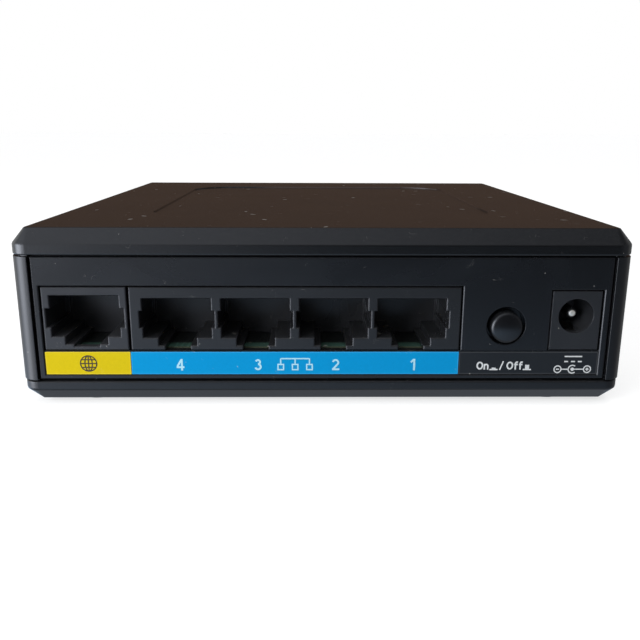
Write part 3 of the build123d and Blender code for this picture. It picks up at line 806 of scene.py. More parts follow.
@dataclass(frozen=True)
class FrostedClear(Finish):
    """Clear moulded plastic with a frosted skin."""

    passing: float = 0.75
    bending: float = 1.49
    grain: float = 0.2 * MM
    tone: Range = (0.92, 1.0)
    gloss: float = 0.08
    depth: float = 0.01 * MM

    def inputs(self, graph: Graph) -> dict[str, Value]:
        """Lets light through, and frosts the skin with a fine grain.

        Args:
            graph: The finish's nodes.

        Returns:
            The shader's values, by the names of its sockets.
        """
        grain = GRAIN.put(graph, Size=self.grain)
        smooth, rough = self.roughness - self.gloss, self.roughness + self.gloss
        return {
            "Base Color": graph.vary(grain["Tone"], self.colour, *self.tone),
            "Roughness": graph.span(grain["Height"], 0.2, 0.9, smooth, rough),
            "Transmission Weight": self.passing,
            "IOR": self.bending,
            "Normal": graph.bump(self.depth, grain["Height"]),
        }


@dataclass(frozen=True)
class PaleFloor(Finish):
    """A matt pale floor that glows a little, so that it stays pale to its far end."""

    glow: float = 0.68
    tone: Range = (0.995, 1.0)
    tone_scale: float = 30.0

    def inputs(self, graph: Graph) -> dict[str, Value]:
        """Varies the floor's tone a little, and gives it its glow.

        Args:
            graph: The finish's nodes.

        Returns:
            The shader's values, by the names of its sockets.
        """
        tone = graph.noise(graph.place(), self.tone_scale, 4.0)
        return {
            "Base Color": graph.vary(tone, self.colour, *self.tone),
            "Roughness": self.roughness,
            "Specular IOR Level": 0.0,
            "Emission Color": WHITE,
            "Emission Strength": self.glow,
        }


# Dressing the solids


def paint(finish: Finish, *names: str) -> None:
    """Gives solids of the frame a finish.

    Args:
        finish: The finish.
        names: The solids' names.
    """
    material = finish.material()
    for name in names:
        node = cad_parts[name]
        if not node.material_slots:
            node.data.materials.append(material)
        for slot in node.material_slots:
            slot.material = material
        LOG.info("dressed %s in %s", name, finish.name)


CORNERS = ("rear_left", "rear_right", "front_left", "front_right")


@dataclass
class Case:
    """The lid, the middle frame and the base, with the feet and screws that hold them."""

    top: Finish = FieldedPlastic(
        "lid_black", (0.0048, 0.0050, 0.0056), 0.22, grain=0.28 * MM, dust=0.32, specular=0.65, smear=0.015
    )
    plastic: Finish = MouldedPlastic(
        "case_black", (0.0064, 0.0066, 0.0074), 0.30, grain=0.28 * MM, smear=0.015
    )
    rubber: Finish = MouldedPlastic(
        "foot_rubber", (0.020, 0.020, 0.021), 0.75, grain=0.5 * MM, depth=0.03 * MM, dust=0.9, specular=0.25
    )
    steel: Finish = WorkedMetal("screw_steel", (0.42, 0.42, 0.43), 0.32)

    def dress(self) -> None:
        """Finishes the shells, the feet and the screws."""
        paint(self.top, "top_cover")
        paint(self.plastic, "side_frame", "bottom_tray")
        paint(self.rubber, *("foot_" + corner for corner in CORNERS))
        paint(self.steel, *("case_screw_" + corner for corner in CORNERS))


@dataclass
class SocketPanel:
    """The rear panel and the three printed strips under its openings."""

    plastic: Finish = MouldedPlastic(
        "panel_black", (0.0056, 0.0060, 0.0072), 0.28, grain=0.2 * MM, depth=0.005 * MM
    )
    strips: tuple[PrintedFilm, ...] = (
        PrintedFilm("yellow_film", (0.62, 0.475, 0.006), 0.42, "wan_label", border_gain=1.10),
        PrintedFilm("blue_film", (0.001, 0.275, 0.595), 0.42, "lan_label", border_gain=1.12),
        PrintedFilm("black_film", (0.0138, 0.0158, 0.0190), 0.36, "power_label", border_gain=1.25),
    )

    def dress(self) -> None:
        """Finishes the panel and each strip."""
        paint(self.plastic, "rear_panel")
        for film in self.strips:
            paint(film, film.node)


@dataclass
class SocketRow:
    """The network sockets, their gilded contacts and the carriers behind them."""

    # Both housings are painted paler deep inside: painted light in their shaded insides.
    plastic: Finish = SocketPlastic("jack_black", (0.0118, 0.0122, 0.0136), 0.30)
    paler: Finish = SocketPlastic("jack_grey", (0.0195, 0.0200, 0.0225), 0.32, inner=2.0)
    # The carriers are a much lighter grey than black plastic: painted light deep in the openings.
    carrier: Finish = MouldedPlastic("carrier_black", (0.090, 0.095, 0.110), 0.5, dust=0.1)
    gilt: Finish = WorkedMetal("contact_gilt", (0.86, 0.62, 0.26), 0.22, tarnish=0.15)

    def dress(self) -> None:
        """Finishes the housings, the carriers and the contacts."""
        paint(self.paler, "wan_jack")
        paint(self.plastic, "lan_jack")
        paint(self.carrier, "wan_carrier", "lan_carriers")
        paint(self.gilt, "wan_contacts", "lan_contacts")


@dataclass
class PowerInlet:
    """The power inlet with its centre pin and side spring."""

    # The inlet's inside is painted paler with depth: painted light in its shaded bore.
    plastic: Finish = SocketPlastic(
        "inlet_black", (0.0152, 0.0157, 0.0175), 0.38,
        grain=0.2 * MM, depth=0.005 * MM, edge=0.15 * MM, mouth=-59.0 * MM, inner=4.0,
    )
    # The pin carries a painted highlight at its tip and painted shade round it.
    pin: Finish = TippedPin("pin_nickel", (0.92, 0.89, 0.82), 0.34, tarnish=0.1, metal=0.5)
    leaf: Finish = WorkedMetal("leaf_tin", (0.60, 0.58, 0.54), 0.30)

    def dress(self) -> None:
        """Finishes the housing, the pin, the leaf spring and the switch's pins."""
        paint(self.plastic, "dc_jack")
        paint(self.pin, "dc_pin")
        paint(self.leaf, "dc_leaf", "power_switch_pins")


@dataclass
class Buttons:
    """The power button and its switch, the set-up button and the reset switch."""

    cap: Finish = MouldedPlastic(
        "button_black", (0.0062, 0.0065, 0.0076), 0.22, grain=0.2 * MM, depth=0.003 * MM
    )
    housing: Finish = MouldedPlastic("switch_black", (0.028, 0.028, 0.029), 0.5)
    slider: Finish = MouldedPlastic("slider_white", (0.70, 0.70, 0.67), 0.45, dust=0.2)
    stem: Finish = MouldedPlastic("stem_black", (0.035, 0.034, 0.034), 0.4, dust=0.2)

    def dress(self) -> None:
        """Finishes the caps, the switch housings, the slider and the stems."""
        paint(self.cap, "power_button", "setup_button")
        paint(self.housing, "power_switch", "setup_switch", "reset_switch")
        paint(self.slider, "power_plunger")
        paint(self.stem, "setup_stem", "reset_stem")


@dataclass
class CircuitBoard:
    """The board and what is soldered to it, with the lamps and the light pipe over them."""

    laminate: Finish = CoatedLaminate("board_green", (0.027, 0.060, 0.047), 0.34)
    four_sided: tuple[str, ...] = ("processor",)
    two_sided: tuple[str, ...] = ("memory", "flash_memory", "regulator", "transformers")
    resin: Colour = (0.016, 0.016, 0.017)
    resin_roughness: float = 0.5
    can: Finish = WorkedMetal("can_aluminium", (0.72, 0.72, 0.74), 0.28)
    crystal: Finish = WorkedMetal("crystal_can", (0.66, 0.65, 0.62), 0.22)
    shield: Finish = WorkedMetal("shield_tin", (0.60, 0.60, 0.57), 0.34, lines=(700.0, 6000.0, 6000.0))
    ferrite: Finish = MouldedPlastic(
        "ferrite_grey", (0.045, 0.044, 0.043), 0.6, grain=0.4 * MM, depth=0.03 * MM
    )
    antenna: Finish = WorkedMetal("antenna_brass", (0.74, 0.58, 0.30), 0.30)
    lamp: Finish = MouldedPlastic("lamp_resin", (0.78, 0.76, 0.66), 0.35, dust=0.1)
    pipe: Finish = FrostedClear("pipe_clear", (0.86, 0.90, 0.92), 0.28)

    def dress(self) -> None:
        """Finishes the board, each chip, the cans, the lamps and the light pipe."""
        paint(self.laminate, "main_board")
        for name in self.four_sided + self.two_sided:
            around = name in self.four_sided
            paint(ChipResin(name + "_resin", self.resin, self.resin_roughness, name, along_x=around), name)
        paint(self.can, "capacitors")
        paint(self.crystal, "crystal")
        paint(self.shield, "radio_shield")
        paint(self.ferrite, "inductor")
        paint(self.antenna, "antenna_left", "antenna_right")
        paint(self.lamp, "lamps")
        paint(self.pipe, "light_pipe")


# Printed marks


class Facing(Enum):
    """Which way a printed mark looks, as the axes that its own right and out run along."""

    REAR = ((1.0, 0.0, 0.0), (0.0, -1.0, 0.0))
    FRONT = ((-1.0, 0.0, 0.0), (0.0, 1.0, 0.0))

    def frame_points(self, flat: np.ndarray, spot: Sequence[float]) -> np.ndarray:
        """Carries points (right, up, out) into the frame: the spot plus each part times its own axis."""
        right, out = self.value
        return np.array(spot) + flat @ np.array((right, (0.0, 0.0, 1.0), out))


def arc(radius: float, start: float, end: float, steps: int, middle: Spot = (0.0, 0.0)) -> np.ndarray:
    """Points on a circle: the middle plus the radius along evenly spread angles, given in degrees."""
    angle = np.radians(np.linspace(start, end, steps))
    return np.array(middle) + radius * np.column_stack((np.cos(angle), np.sin(angle)))


def stroke(path: np.ndarray, width: float | np.ndarray, thickness: float, closed: bool = False) -> Surface:
    """An oblong profile carried along a flat path.

    At each point the profile's corners lie half a width to either side, along the line that halves the turn
    of the path, and are drawn out by one over the cosine of half the turn, up to a limit, so the ink keeps
    its width round corners.

    Args:
        path: The points of the path, one to a row.
        width: The width of the ink, the same all along or one for each point.
        thickness: How far the ink stands out.
        closed: Whether the path runs back to its start.

    Returns:
        The points of the surface and the corners of its faces.
    """
    least_cosine = 0.3
    after = np.roll(path, -1, axis=0) - path
    before = path - np.roll(path, 1, axis=0)
    if not closed:
        after[-1] = before[-1]
        before[0] = after[0]
    after /= np.linalg.norm(after, axis=1, keepdims=True)
    before /= np.linalg.norm(before, axis=1, keepdims=True)
    along = after + before
    along /= np.linalg.norm(along, axis=1, keepdims=True)
    stretch = 1.0 / np.maximum(np.sum(along * after, axis=1), least_cosine)
    side = np.column_stack((-along[:, 1], along[:, 0])) * (0.5 * np.asarray(width) * stretch)[:, None]
    count = len(path)
    low, high = np.zeros((count, 1)), np.full((count, 1), thickness)
    left, right = path + side, path - side
    rings = [np.hstack(pair) for pair in ((left, low), (right, low), (right, high), (left, high))]
    points = np.stack(rings, axis=1).reshape(-1, 3)
    spans = np.arange(count if closed else count - 1)
    corner = np.arange(4)
    here = (spans[:, None] * 4 + corner).ravel()
    turn = (spans[:, None] * 4 + (corner + 1) % 4).ravel()
    step = 4 * count
    faces = np.column_stack((here, turn, (turn + 4) % step, (here + 4) % step))
    if not closed:
        faces = np.vstack((faces, corner[::-1], corner + step - 4))
    return points, faces


def joined(pieces: Sequence[Surface]) -> Surface:
    """Several surfaces as one, with the face corners counted on.

    Each stands out a little further than the one before it, so that no two faces lie in one plane where
    they cross.

    Args:
        pieces: The surfaces.

    Returns:
        Their points and faces together.
    """
    rise = 0.1
    starts = np.cumsum([0] + [len(points) for points, _ in pieces[:-1]])
    points = np.vstack([points * (1.0, 1.0, 1.0 + rise * i) for i, (points, _) in enumerate(pieces)])
    faces = np.vstack([faces + start for start, (_, faces) in zip(starts, pieces)])
    return points, faces


@dataclass(frozen=True)
class InkPen:
    """Draws the strokes of the printed signs at one width and thickness."""

    width: float = 0.24 * MM
    thickness: float = 0.02 * MM
    ring_steps: int = 48

    def line(self, *points: Sequence[float], width: float | None = None) -> Surface:
        """A run of straight strokes through the points."""
        return stroke(np.array(points, float), width or self.width, self.thickness)

    def loop(self, points: np.ndarray) -> Surface:
        """A closed stroke through the points."""
        return stroke(points, self.width, self.thickness, closed=True)

    def ring(self, radius: float, middle: Spot = (0.0, 0.0), squeeze: float = 1.0) -> Surface:
        """A closed ring, narrowed from side to side by a factor."""
        circle = arc(radius, 0.0, 360.0 - 360.0 / self.ring_steps, self.ring_steps)
        return self.loop(circle * np.array((squeeze, 1.0)) + np.array(middle))

    def bow(self, radius: float, start: float, end: float, middle: Spot = (0.0, 0.0)) -> Surface:
        """A part of a ring between two angles."""
        return stroke(arc(radius, start, end, 25, middle), self.width, self.thickness)

    def spot(self, radius: float, middle: Spot = (0.0, 0.0)) -> Surface:
        """A filled round spot: a stroke across it, as wide as the circle is at each point of the run.

        The run is the radius times the sine of evenly spread angles, and the half width is the root of the
        radius squared less the run squared.

        Args:
            radius: The spot's radius.
            middle: Its centre.

        Returns:
            Its points and faces.
        """
        run = radius * np.sin(np.linspace(-0.49 * np.pi, 0.49 * np.pi, 21))
        path = np.column_stack((run, np.zeros_like(run))) + np.array(middle)
        return stroke(path, 2.0 * np.sqrt(radius**2 - run**2), self.thickness)


def globe(pen: InkPen, radius: float) -> Surface:
    """A globe: the outline, one narrow meridian, the axis, the equator and two parallels.

    Args:
        pen: The pen it is drawn with.
        radius: The outline's radius.

    Returns:
        Its points and faces.
    """
    lift = 0.5 * radius
    reach = math.sqrt(radius**2 - lift**2)
    strokes = [pen.ring(radius), pen.ring(radius, squeeze=0.45), pen.line((0, -radius), (0, radius))]
    strokes += [pen.line((-r, z), (r, z)) for r, z in ((radius, 0.0), (reach, lift), (reach, -lift))]
    return joined(strokes)


def linked_boxes(pen: InkPen, pitch: float, size: float) -> Surface:
    """A local network: three small boxes in a row, joined by a line over them.

    Args:
        pen: The pen it is drawn with.
        pitch: How far the boxes stand apart.
        size: How wide a box is.

    Returns:
        Its points and faces.
    """
    top = 1.6 * size
    box = 0.5 * size * np.array(((-1.0, -1.0), (1.0, -1.0), (1.0, 1.0), (-1.0, 1.0)))
    strokes = [pen.line((-pitch, top), (pitch, top))]
    for x in (-pitch, 0.0, pitch):
        strokes.append(pen.loop(box + np.array((x, 0.0))))
        strokes.append(pen.line((x, 0.5 * size), (x, top)))
    return joined(strokes)


def push_sign(pen: InkPen, rise: float, reach: float) -> Surface:
    """A push button seen from the side: a base line with a block that stands up by its rise."""
    block = pen.line((0.0, pen.width / 2), (0.0, rise), width=reach)
    return joined([pen.line((-reach, 0.0), (reach, 0.0)), block])


def polarity_sign(pen: InkPen, radius: float) -> Surface:
    """A plug's polarity: a spot in an open ring, with lines out to a plus and a minus in rings.

    Args:
        pen: The pen it is drawn with.
        radius: The open ring's radius.

    Returns:
        Its points and faces.
    """
    away = 3.6 * radius
    small = 0.85 * radius
    arm = 0.45 * small
    strokes = [pen.bow(radius, 50.0, 310.0), pen.spot(0.42 * radius)]
    strokes += [pen.line((0.0, 0.0), (away - small, 0.0)), pen.line((-radius, 0.0), (small - away, 0.0))]
    strokes += [pen.ring(small, (away, 0.0)), pen.ring(small, (-away, 0.0))]
    strokes += [pen.line((away - arm, 0.0), (away + arm, 0.0)), pen.line((away, -arm), (away, arm))]
    strokes.append(pen.line((-away - arm, 0.0), (-away + arm, 0.0)))
    return joined(strokes)


def direct_current_sign(pen: InkPen, reach: float) -> Surface:
    """Direct current: a full line over three short dashes.

    Args:
        pen: The pen it is drawn with.
        reach: Half the full line's length.

    Returns:
        Its points and faces.
    """
    gap = 0.3 * reach
    dash = 0.22 * reach
    strokes = [pen.line((-reach, gap), (reach, gap))]
    strokes += [pen.line((x - dash, -gap), (x + dash, -gap)) for x in (dash - reach, 0.0, reach - dash)]
    return joined(strokes)


def lettering(pen: InkPen, text: str, height: float, gap: float = 0.24) -> Surface:
    """Plain digits and letters in a row, centred: strokes follow lines or arcs in boxes one unit tall.

    Args:
        pen: The pen it is drawn with.
        text: Digits from 1 to 4, or letters of On and Off.
        height: How tall a digit or capital stands.
        gap: The room between two boxes, as a share of the height.

    Returns:
        Its points and faces.
    """
    swan = np.vstack((arc(0.22, 168.0, -32.0, 17, (0.33, 0.68)), ((0.14, 0.14),)))
    ring = arc(1.0, 0.0, 360.0, 41) * np.array((0.32, 0.41)) + np.array((0.32, 0.5))
    arch = np.vstack((arc(0.21, 180.0, 0.0, 13, (0.21, 0.44)), ((0.42, 0.0),)))
    hook = np.vstack((((0.12, 0.0),), arc(0.18, 180.0, 60.0, 11, (0.30, 0.76))))
    slope, bar = ((0.42, 0.93), (0.09, 0.36)), ((0.02, 0.29), (0.66, 0.29))
    boxes = {
        "1": (0.68, [((0.40, 0.0), (0.40, 1.0)), ((0.12, 0.70), (0.36, 0.93))]),
        "2": (0.68, [swan, ((0.04, 0.10), (0.64, 0.10))]),
        "3": (0.68, [arc(0.17, 162.0, -90.0, 17, (0.31, 0.73)), arc(0.22, 90.0, -162.0, 17, (0.31, 0.32))]),
        "4": (0.68, [((0.46, 0.0), (0.46, 1.0)), slope, bar]),
        "O": (0.64, [ring]),
        "n": (0.42, [((0.0, 0.0), (0.0, 0.70)), arch]),
        "f": (0.34, [hook, ((-0.03, 0.64), (0.38, 0.64))]),
    }
    strokes = []
    start = 0.0
    for glyph in text:
        width, paths = boxes[glyph]
        strokes += [np.array(path) + np.array((start, -0.5)) for path in paths]
        start += width + gap
    middle = np.array(((start - gap) / 2, 0.0))
    return joined([stroke((path - middle) * height, pen.width, pen.thickness) for path in strokes])


def power_sign(pen: InkPen, radius: float) -> Surface:
    """Power: a ring that is open at the top, with a short line in the gap."""
    return joined([pen.bow(radius, 125.0, 415.0), pen.line((0.0, 0.25 * radius), (0.0, 1.25 * radius))])


def radio_sign(pen: InkPen, radius: float) -> Surface:
    """Radio: a spot under two arcs.

    Args:
        pen: The pen it is drawn with.
        radius: The size that the spot and the arcs are shares of.

    Returns:
        Its points and faces.
    """
    foot = (0.0, -0.7 * radius)
    arcs = [pen.bow(share * radius, 45.0, 135.0, foot) for share in (0.9, 1.6)]
    return joined([pen.spot(0.2 * radius, foot), *arcs])


def pairing_sign(pen: InkPen, radius: float) -> Surface:
    """Pairing: two arcs that chase each other, each with an arrow head at its end.

    Args:
        pen: The pen it is drawn with.
        radius: The arcs' radius.

    Returns:
        Its points and faces.
    """
    sweep, point = 125.0, 160.0
    head_width = np.array((2.6, 0.1)) * pen.width
    strokes = []
    for start in (20.0, 200.0):
        strokes.append(pen.bow(radius, start, start + sweep))
        root, tip = arc(radius, start + sweep, start + point, 2)
        head = np.array((root, root + 0.98 * (tip - root)))
        strokes.append(stroke(head, head_width, pen.thickness))
    return joined(strokes)


@dataclass
class PrintedMarks:
    """The signs, digits and switch letters printed on the strips and on the front wall."""

    pen: InkPen = InkPen()
    fine_pen: InkPen = InkPen(0.20 * MM)
    globe_pen: InkPen = InkPen(0.22 * MM)
    letter_pen: InkPen = InkPen(0.28 * MM)
    lamp_pen: InkPen = InkPen(0.30 * MM)
    digit_pen: InkPen = InkPen(0.34 * MM)
    proud: float = 0.004 * MM
    digit_height: float = 2.2 * MM
    digit_level: float = 7.9 * MM
    digit_places: tuple[float, ...] = (-25.80 * MM, -11.74 * MM, 2.25 * MM, 16.36 * MM)
    internet_spot: Spot = (-42.3 * MM, 8.15 * MM)
    internet_radius: float = 1.45 * MM
    network_spot: Spot = (-5.1 * MM, 7.45 * MM)
    network_pitch: float = 2.6 * MM
    network_box: float = 1.0 * MM
    switch_level: float = 7.7 * MM
    switch_height: float = 1.5 * MM
    on_place: float = 28.95 * MM
    stroke_place: float = 32.4 * MM
    off_place: float = 34.8 * MM
    pressed_place: float = 31.0 * MM
    pressed_rise: float = 0.35 * MM
    released_place: float = 37.1 * MM
    released_rise: float = 0.9 * MM
    push_reach: float = 0.75 * MM
    current_spot: Spot = (45.4 * MM, 8.95 * MM)
    current_reach: float = 1.6 * MM
    polarity_spot: Spot = (45.4 * MM, 7.0 * MM)
    polarity_radius: float = 0.75 * MM
    lamp_pitch: float = 8.0 * MM
    lamp_level: float = 15.0 * MM
    sign_lift: float = 4.6 * MM
    sign_radius: float = 0.95 * MM
    wide_sign_radius: float = 1.1 * MM
    lamp_digit_height: float = 1.75 * MM
    setup_place: float = 38.0 * MM
    white: Finish = PrintInk("white_ink", (0.66, 0.68, 0.69), 0.5, thin=(0.40, 0.42, 0.43))
    sky: Finish = PrintInk("sky_ink", (0.42, 0.70, 0.81), 0.5, thin=(0.22, 0.48, 0.62))
    dark: Finish = PrintInk("dark_ink", (0.045, 0.032, 0.010), 0.5, thin=(0.20, 0.14, 0.01))
    materials: dict[str, bpy.types.Material] = field(default_factory=dict)

    def build(self) -> None:
        """Prints the strips under the sockets, then the front wall over the lamps."""
        self.materials = {ink.name: ink.material() for ink in (self.white, self.sky, self.dark)}
        self.print_strips(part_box("lan_label")[0].y - self.proud)
        self.print_wall(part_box("side_frame")[1].y + self.proud)

    def print_strips(self, face: float) -> None:
        """Prints the signs, digits and letters on the strips.

        Args:
            face: Where the strips' faces lie along Y.
        """
        pen = self.pen
        half = self.switch_height / 2
        foot = self.switch_level - half
        slash = pen.line((-0.4 * half, -1.1 * half), (0.4 * half, 1.1 * half))
        on = lettering(self.letter_pen, "On", self.switch_height)
        off = lettering(self.letter_pen, "Off", self.switch_height)
        pressed = push_sign(pen, self.pressed_rise, self.push_reach)
        released = push_sign(pen, self.released_rise, self.push_reach)
        current = direct_current_sign(pen, self.current_reach)
        polarity = polarity_sign(self.fine_pen, self.polarity_radius)
        network = linked_boxes(pen, self.network_pitch, self.network_box)
        for digit, x in zip("4321", self.digit_places):
            surface = lettering(self.digit_pen, digit, self.digit_height)
            self.sign("socket_digit_" + digit, surface, (x, face, self.digit_level), self.sky)
        signs = (
            ("internet_sign", globe(self.globe_pen, self.internet_radius), self.internet_spot, self.dark),
            ("network_sign", network, self.network_spot, self.sky),
            ("on_letters", on, (self.on_place, self.switch_level), self.white),
            ("stroke_sign", slash, (self.stroke_place, self.switch_level), self.white),
            ("off_letters", off, (self.off_place, self.switch_level), self.white),
            ("pressed_sign", pressed, (self.pressed_place, foot), self.white),
            ("released_sign", released, (self.released_place, foot), self.white),
            ("current_sign", current, self.current_spot, self.white),
            ("polarity_sign", polarity, self.polarity_spot, self.white),
        )
        for name, surface, (x, z), ink in signs:
            self.sign(name, surface, (x, face, z), ink)

    def print_wall(self, face: float) -> None:
        """Prints a sign over each lamp and over the set-up button.

        Args:
            face: Where the front wall's face lies along Y.
        """
        pen = self.fine_pen
        signs = {
            "lamp_power_sign": power_sign(pen, self.sign_radius),
            "lamp_radio_sign": radio_sign(pen, self.sign_radius),
            "lamp_internet_sign": globe(pen, self.wide_sign_radius),
        }
        for digit in "1234":
            signs["lamp_digit_" + digit] = lettering(self.lamp_pen, digit, self.lamp_digit_height)
        places = [(3 - lamp) * self.lamp_pitch for lamp in range(len(signs))]
        signs["setup_sign"] = pairing_sign(pen, self.wide_sign_radius)
        places.append(self.setup_place)
        level = self.lamp_level + self.sign_lift
        for (name, surface), x in zip(signs.items(), places):
            self.sign(name, surface, (x, face, level), self.white, Facing.FRONT)

    def sign(
        self, name: str, surface: Surface, spot: Sequence[float], ink: Finish, facing: Facing = Facing.REAR
    ) -> None:
        """Makes a sign a piece of the case, in its place and ink.

        Args:
            name: The piece's name.
            surface: The sign's own points and faces.
            spot: Where its zero lies in the frame.
            ink: The ink it is printed in.
            facing: Which way it looks.
        """
        points, faces = surface
        mesh = bpy.data.meshes.new(name)
        mesh.from_pydata(facing.frame_points(points, spot), [], faces)
        mesh.update()
        mesh.materials.append(self.materials[ink.name])
        piece = bpy.data.objects.new(name, mesh)
        bpy.context.scene.collection.objects.link(piece)
        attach(piece, "case")
        LOG.info("printed %s with %d points", name, len(mesh.vertices))


# Studio


class LightKind(Enum):
    """The kinds of soft light in the studio."""

    FAR = "SUN"
    WINDOW = "AREA"


@dataclass
class SoftLight:
    """A wide soft light that looks at the object from one side, and leaves no spot in its gloss."""

    name: str
    kind: LightKind
    turn: float
    lift: float
    strength: float
    spread: float
    distance: float = 1.0
    colour: Colour = WHITE

    def build(self) -> None:
        """Puts the light up at its turn and lift, in degrees, facing the middle of the object."""
        lamp = bpy.data.lights.new(self.name, self.kind.value)
        lamp.energy = self.strength
        lamp.color = self.colour
        if self.kind is LightKind.FAR:
            lamp.angle = math.radians(self.spread)
        else:
            lamp.size = self.spread
        turn, lift = math.radians(self.turn), math.radians(self.lift)
        back = Vector((math.sin(turn) * math.cos(lift), -math.cos(turn) * math.cos(lift), math.sin(lift)))
        light = bpy.data.objects.new(self.name, lamp)
        light.rotation_euler = back.to_track_quat("Z", "Y").to_euler()
        light.location = back * self.distance
        light.visible_glossy = False
        bpy.context.scene.collection.objects.link(light)
        LOG.info("lit by %s", self.name)


@dataclass
class RoomLight:
    """What glossy faces see all round: a window to the left, a table, a ceiling and a dim far side.

    A range named after an axis is where a light fades along it, in the direction that the light comes from.
    The light of table and ceiling runs from left to right. The window's is given at cosines of the angle
    from its middle.
    """

    cool: Colour = (0.84, 0.89, 1.0)
    window: Place = (-0.865, -0.50, 0.0)
    window_peak: float = 7.5
    window_light: tuple[Range, ...] = (
        (-1.0, 0.22), (-0.4, 0.22), (0.15, 0.02), (0.5, 0.05),
        (0.76, 0.74), (0.86, 2.0), (0.92, 4.0), (0.98, 7.5),
    )
    table_tint: Colour = (0.57, 0.76, 1.0)
    table_light: Range = (1.90, 0.27)
    table_z: Range = (-0.20, -0.345)
    ceiling_light: Range = (1.02, 0.10)
    ceiling_x: Range = (-0.75, 0.75)
    ceiling_z: Range = (0.30, 0.75)
    ground: Colour = (0.375, 0.412, 0.468)
    ground_z: Range = (-0.45, -0.80)
    warm: Colour = (0.098, 0.063, 0.0455)
    warm_y: Range = (0.0, 0.30)
    warm_low_z: Range = (-0.40, -0.20)
    warm_high_z: Range = (0.80, 0.97)
    warm_dim: float = 0.25
    warm_dim_z: Range = (0.35, 0.75)
    side: Colour = (0.82, 0.84, 0.86)
    side_x: Range = (0.50, 0.80)
    side_y: Range = (-0.30, 0.10)
    side_z: Range = (0.45, 0.75)
    right_side: float = 0.4
    right_side_x: Range = (-0.5, 0.5)

    def build(self, graph: Graph) -> Socket:
        """Joins the lights of the room.

        The table and the ceiling are lighter to the left. What lies behind the object is dim and warm, and
        pale to both sides of it, more so to the left.

        Args:
            graph: The world's nodes.

        Returns:
            The light from each direction.
        """
        way = graph.add("ShaderNodeTexCoord").outputs["Generated"]
        x, y, z = graph.parts(way)
        table = graph.product(graph.span(x, -1.0, 1.0, *self.table_light), graph.span(z, *self.table_z))
        light = graph.lighter(self.window_glow(graph, way), graph.scale(self.table_tint, table))
        ceiling = graph.scale(self.cool, graph.span(x, *self.ceiling_x, *self.ceiling_light))
        light = graph.blend(graph.span(z, *self.ceiling_z), light, ceiling)
        light = graph.blend(graph.span(z, *self.ground_z), light, self.ground)
        behind = graph.product(graph.span(y, *self.warm_y), graph.fade(z, *self.warm_high_z))
        behind = graph.product(behind, graph.span(z, *self.warm_low_z))
        warm = graph.scale(self.warm, graph.span(z, *self.warm_dim_z, 1.0, self.warm_dim))
        light = graph.blend(behind, light, warm)
        beside = graph.product(
            graph.span(graph.math("ABSOLUTE", x), *self.side_x),
            graph.span(y, *self.side_y),
            graph.fade(z, *self.side_z),
            graph.span(x, *self.right_side_x, 1.0, self.right_side),
        )
        return graph.lighter(light, graph.scale(self.side, beside))

    def window_glow(self, graph: Graph, way: Socket) -> Socket:
        """The window's light, which falls off with the angle from its middle.

        Args:
            graph: The world's nodes.
            way: The direction that the light comes from.

        Returns:
            The window's light.
        """
        near = graph.vector("DOT_PRODUCT", way, self.window)["Value"]
        ramp = graph.add("ShaderNodeValToRGB", {0: graph.math("ADD", graph.product(near, 0.5), 0.5)})
        elements = ramp.color_ramp.elements
        while len(elements) < len(self.window_light):
            elements.new(0.5)
        for element, (cosine, light) in zip(elements, self.window_light):
            element.position = 0.5 + 0.5 * cosine
            element.color = (*scaled(self.cool, light / self.window_peak), 1.0)
        return graph.scale(ramp.outputs[0], self.window_peak)


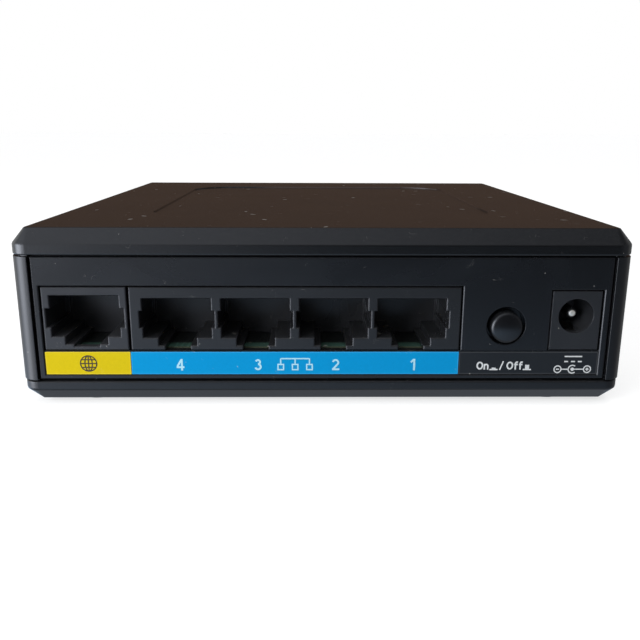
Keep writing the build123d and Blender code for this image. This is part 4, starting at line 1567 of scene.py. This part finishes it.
@dataclass
class Studio:
    """The pale floor, the light and the camera, whose angles are in degrees."""

    floor: Finish = PaleFloor("floor_pale", (0.42, 0.42, 0.42), 0.9)
    floor_reach: float = 6.0
    floor_cells: int = 8
    fill: Colour = (0.15, 0.154, 0.165)
    lights: tuple[SoftLight, ...] = (
        SoftLight("top_light", LightKind.FAR, 10.0, 70.0, 1.7, 70.0),
        SoftLight("back_light", LightKind.FAR, 160.0, 35.0, 0.5, 60.0),
        SoftLight("left_window", LightKind.WINDOW, -45.0, 20.0, 1.92, 0.28, 0.42, (0.95, 0.98, 1.0)),
    )
    lens: float = 40.9877
    sensor: float = 36.0
    clip: Range = (5.0 * MM, 50.0)
    position: Place = (-2.537 * MM, -180.681 * MM, 49.397 * MM)
    pitch: float = 14.7846
    yaw: float = -0.8699
    roll: float = 0.2360

    def build(self) -> None:
        """Lays the floor, sets the light and places the camera."""
        self.lay_floor()
        self.set_sky()
        for light in self.lights:
            light.build()
        self.place_camera()
        bpy.context.scene.view_settings.view_transform = "Standard"

    def lay_floor(self) -> None:
        """Lays a wide level floor: a grid of points over X and Y at the level of the feet."""
        count = self.floor_cells + 1
        reach = np.linspace(-self.floor_reach, self.floor_reach, count)
        x, y = np.meshgrid(reach, reach)
        points = np.column_stack((x.ravel(), y.ravel(), np.zeros(x.size)))
        row = np.arange(self.floor_cells)
        first = (row[:, None] * count + row).ravel()
        mesh = bpy.data.meshes.new("floor")
        mesh.from_pydata(points, [], np.column_stack((first, first + 1, first + count + 1, first + count)))
        mesh.materials.append(self.floor.material())
        floor = bpy.data.objects.new("floor", mesh)
        bpy.context.scene.collection.objects.link(floor)
        floor.visible_glossy = False
        floor.visible_diffuse = False
        LOG.info("laid the floor")

    def set_sky(self) -> None:
        """Sets the light from all round: white to the camera, even to dull faces, a room to glossy ones."""
        world = bpy.data.worlds.new("studio")
        bpy.context.scene.world = world
        world.use_nodes = True
        world.node_tree.nodes.clear()
        graph = Graph(world.node_tree)
        ray = graph.add("ShaderNodeLightPath").outputs
        light = graph.blend(ray["Is Glossy Ray"], self.fill, RoomLight().build(graph))
        light = graph.blend(ray["Is Camera Ray"], light, WHITE)
        background = graph.add("ShaderNodeBackground", {"Color": light})
        graph.add("ShaderNodeOutputWorld", {"Surface": background.outputs[0]})

    def place_camera(self) -> None:
        """Places the camera from its turns: first about Z, then down, then about its own line of sight."""
        pitch, yaw, roll = (math.radians(angle) for angle in (self.pitch, self.yaw, self.roll))
        about_z = Matrix.Rotation(-yaw, 3, "Z")
        down = Matrix.Rotation(pitch, 3, "X")
        tilt = Matrix.Rotation(roll, 3, "Y")
        right, ahead, up = tilt @ down @ about_z
        turned = Matrix((right, up, -ahead)).transposed().to_4x4()
        data = bpy.data.cameras.new("camera")
        data.lens = self.lens
        data.sensor_width = self.sensor
        data.clip_start, data.clip_end = self.clip
        camera = bpy.data.objects.new("camera", data)
        bpy.context.scene.collection.objects.link(camera)
        camera.matrix_world = Matrix.Translation(self.position) @ turned
        bpy.context.scene.camera = camera
        LOG.info("placed the camera")


def main() -> None:
    """Dresses the solids, prints the marks and sets up the studio."""
    logging.basicConfig(level=logging.INFO, format="%(message)s")
    for part in (Case(), SocketPanel(), SocketRow(), PowerInlet(), Buttons(), CircuitBoard()):
        part.dress()
    PrintedMarks().build()
    Studio().build()


if __name__ == "__main__":
    main()
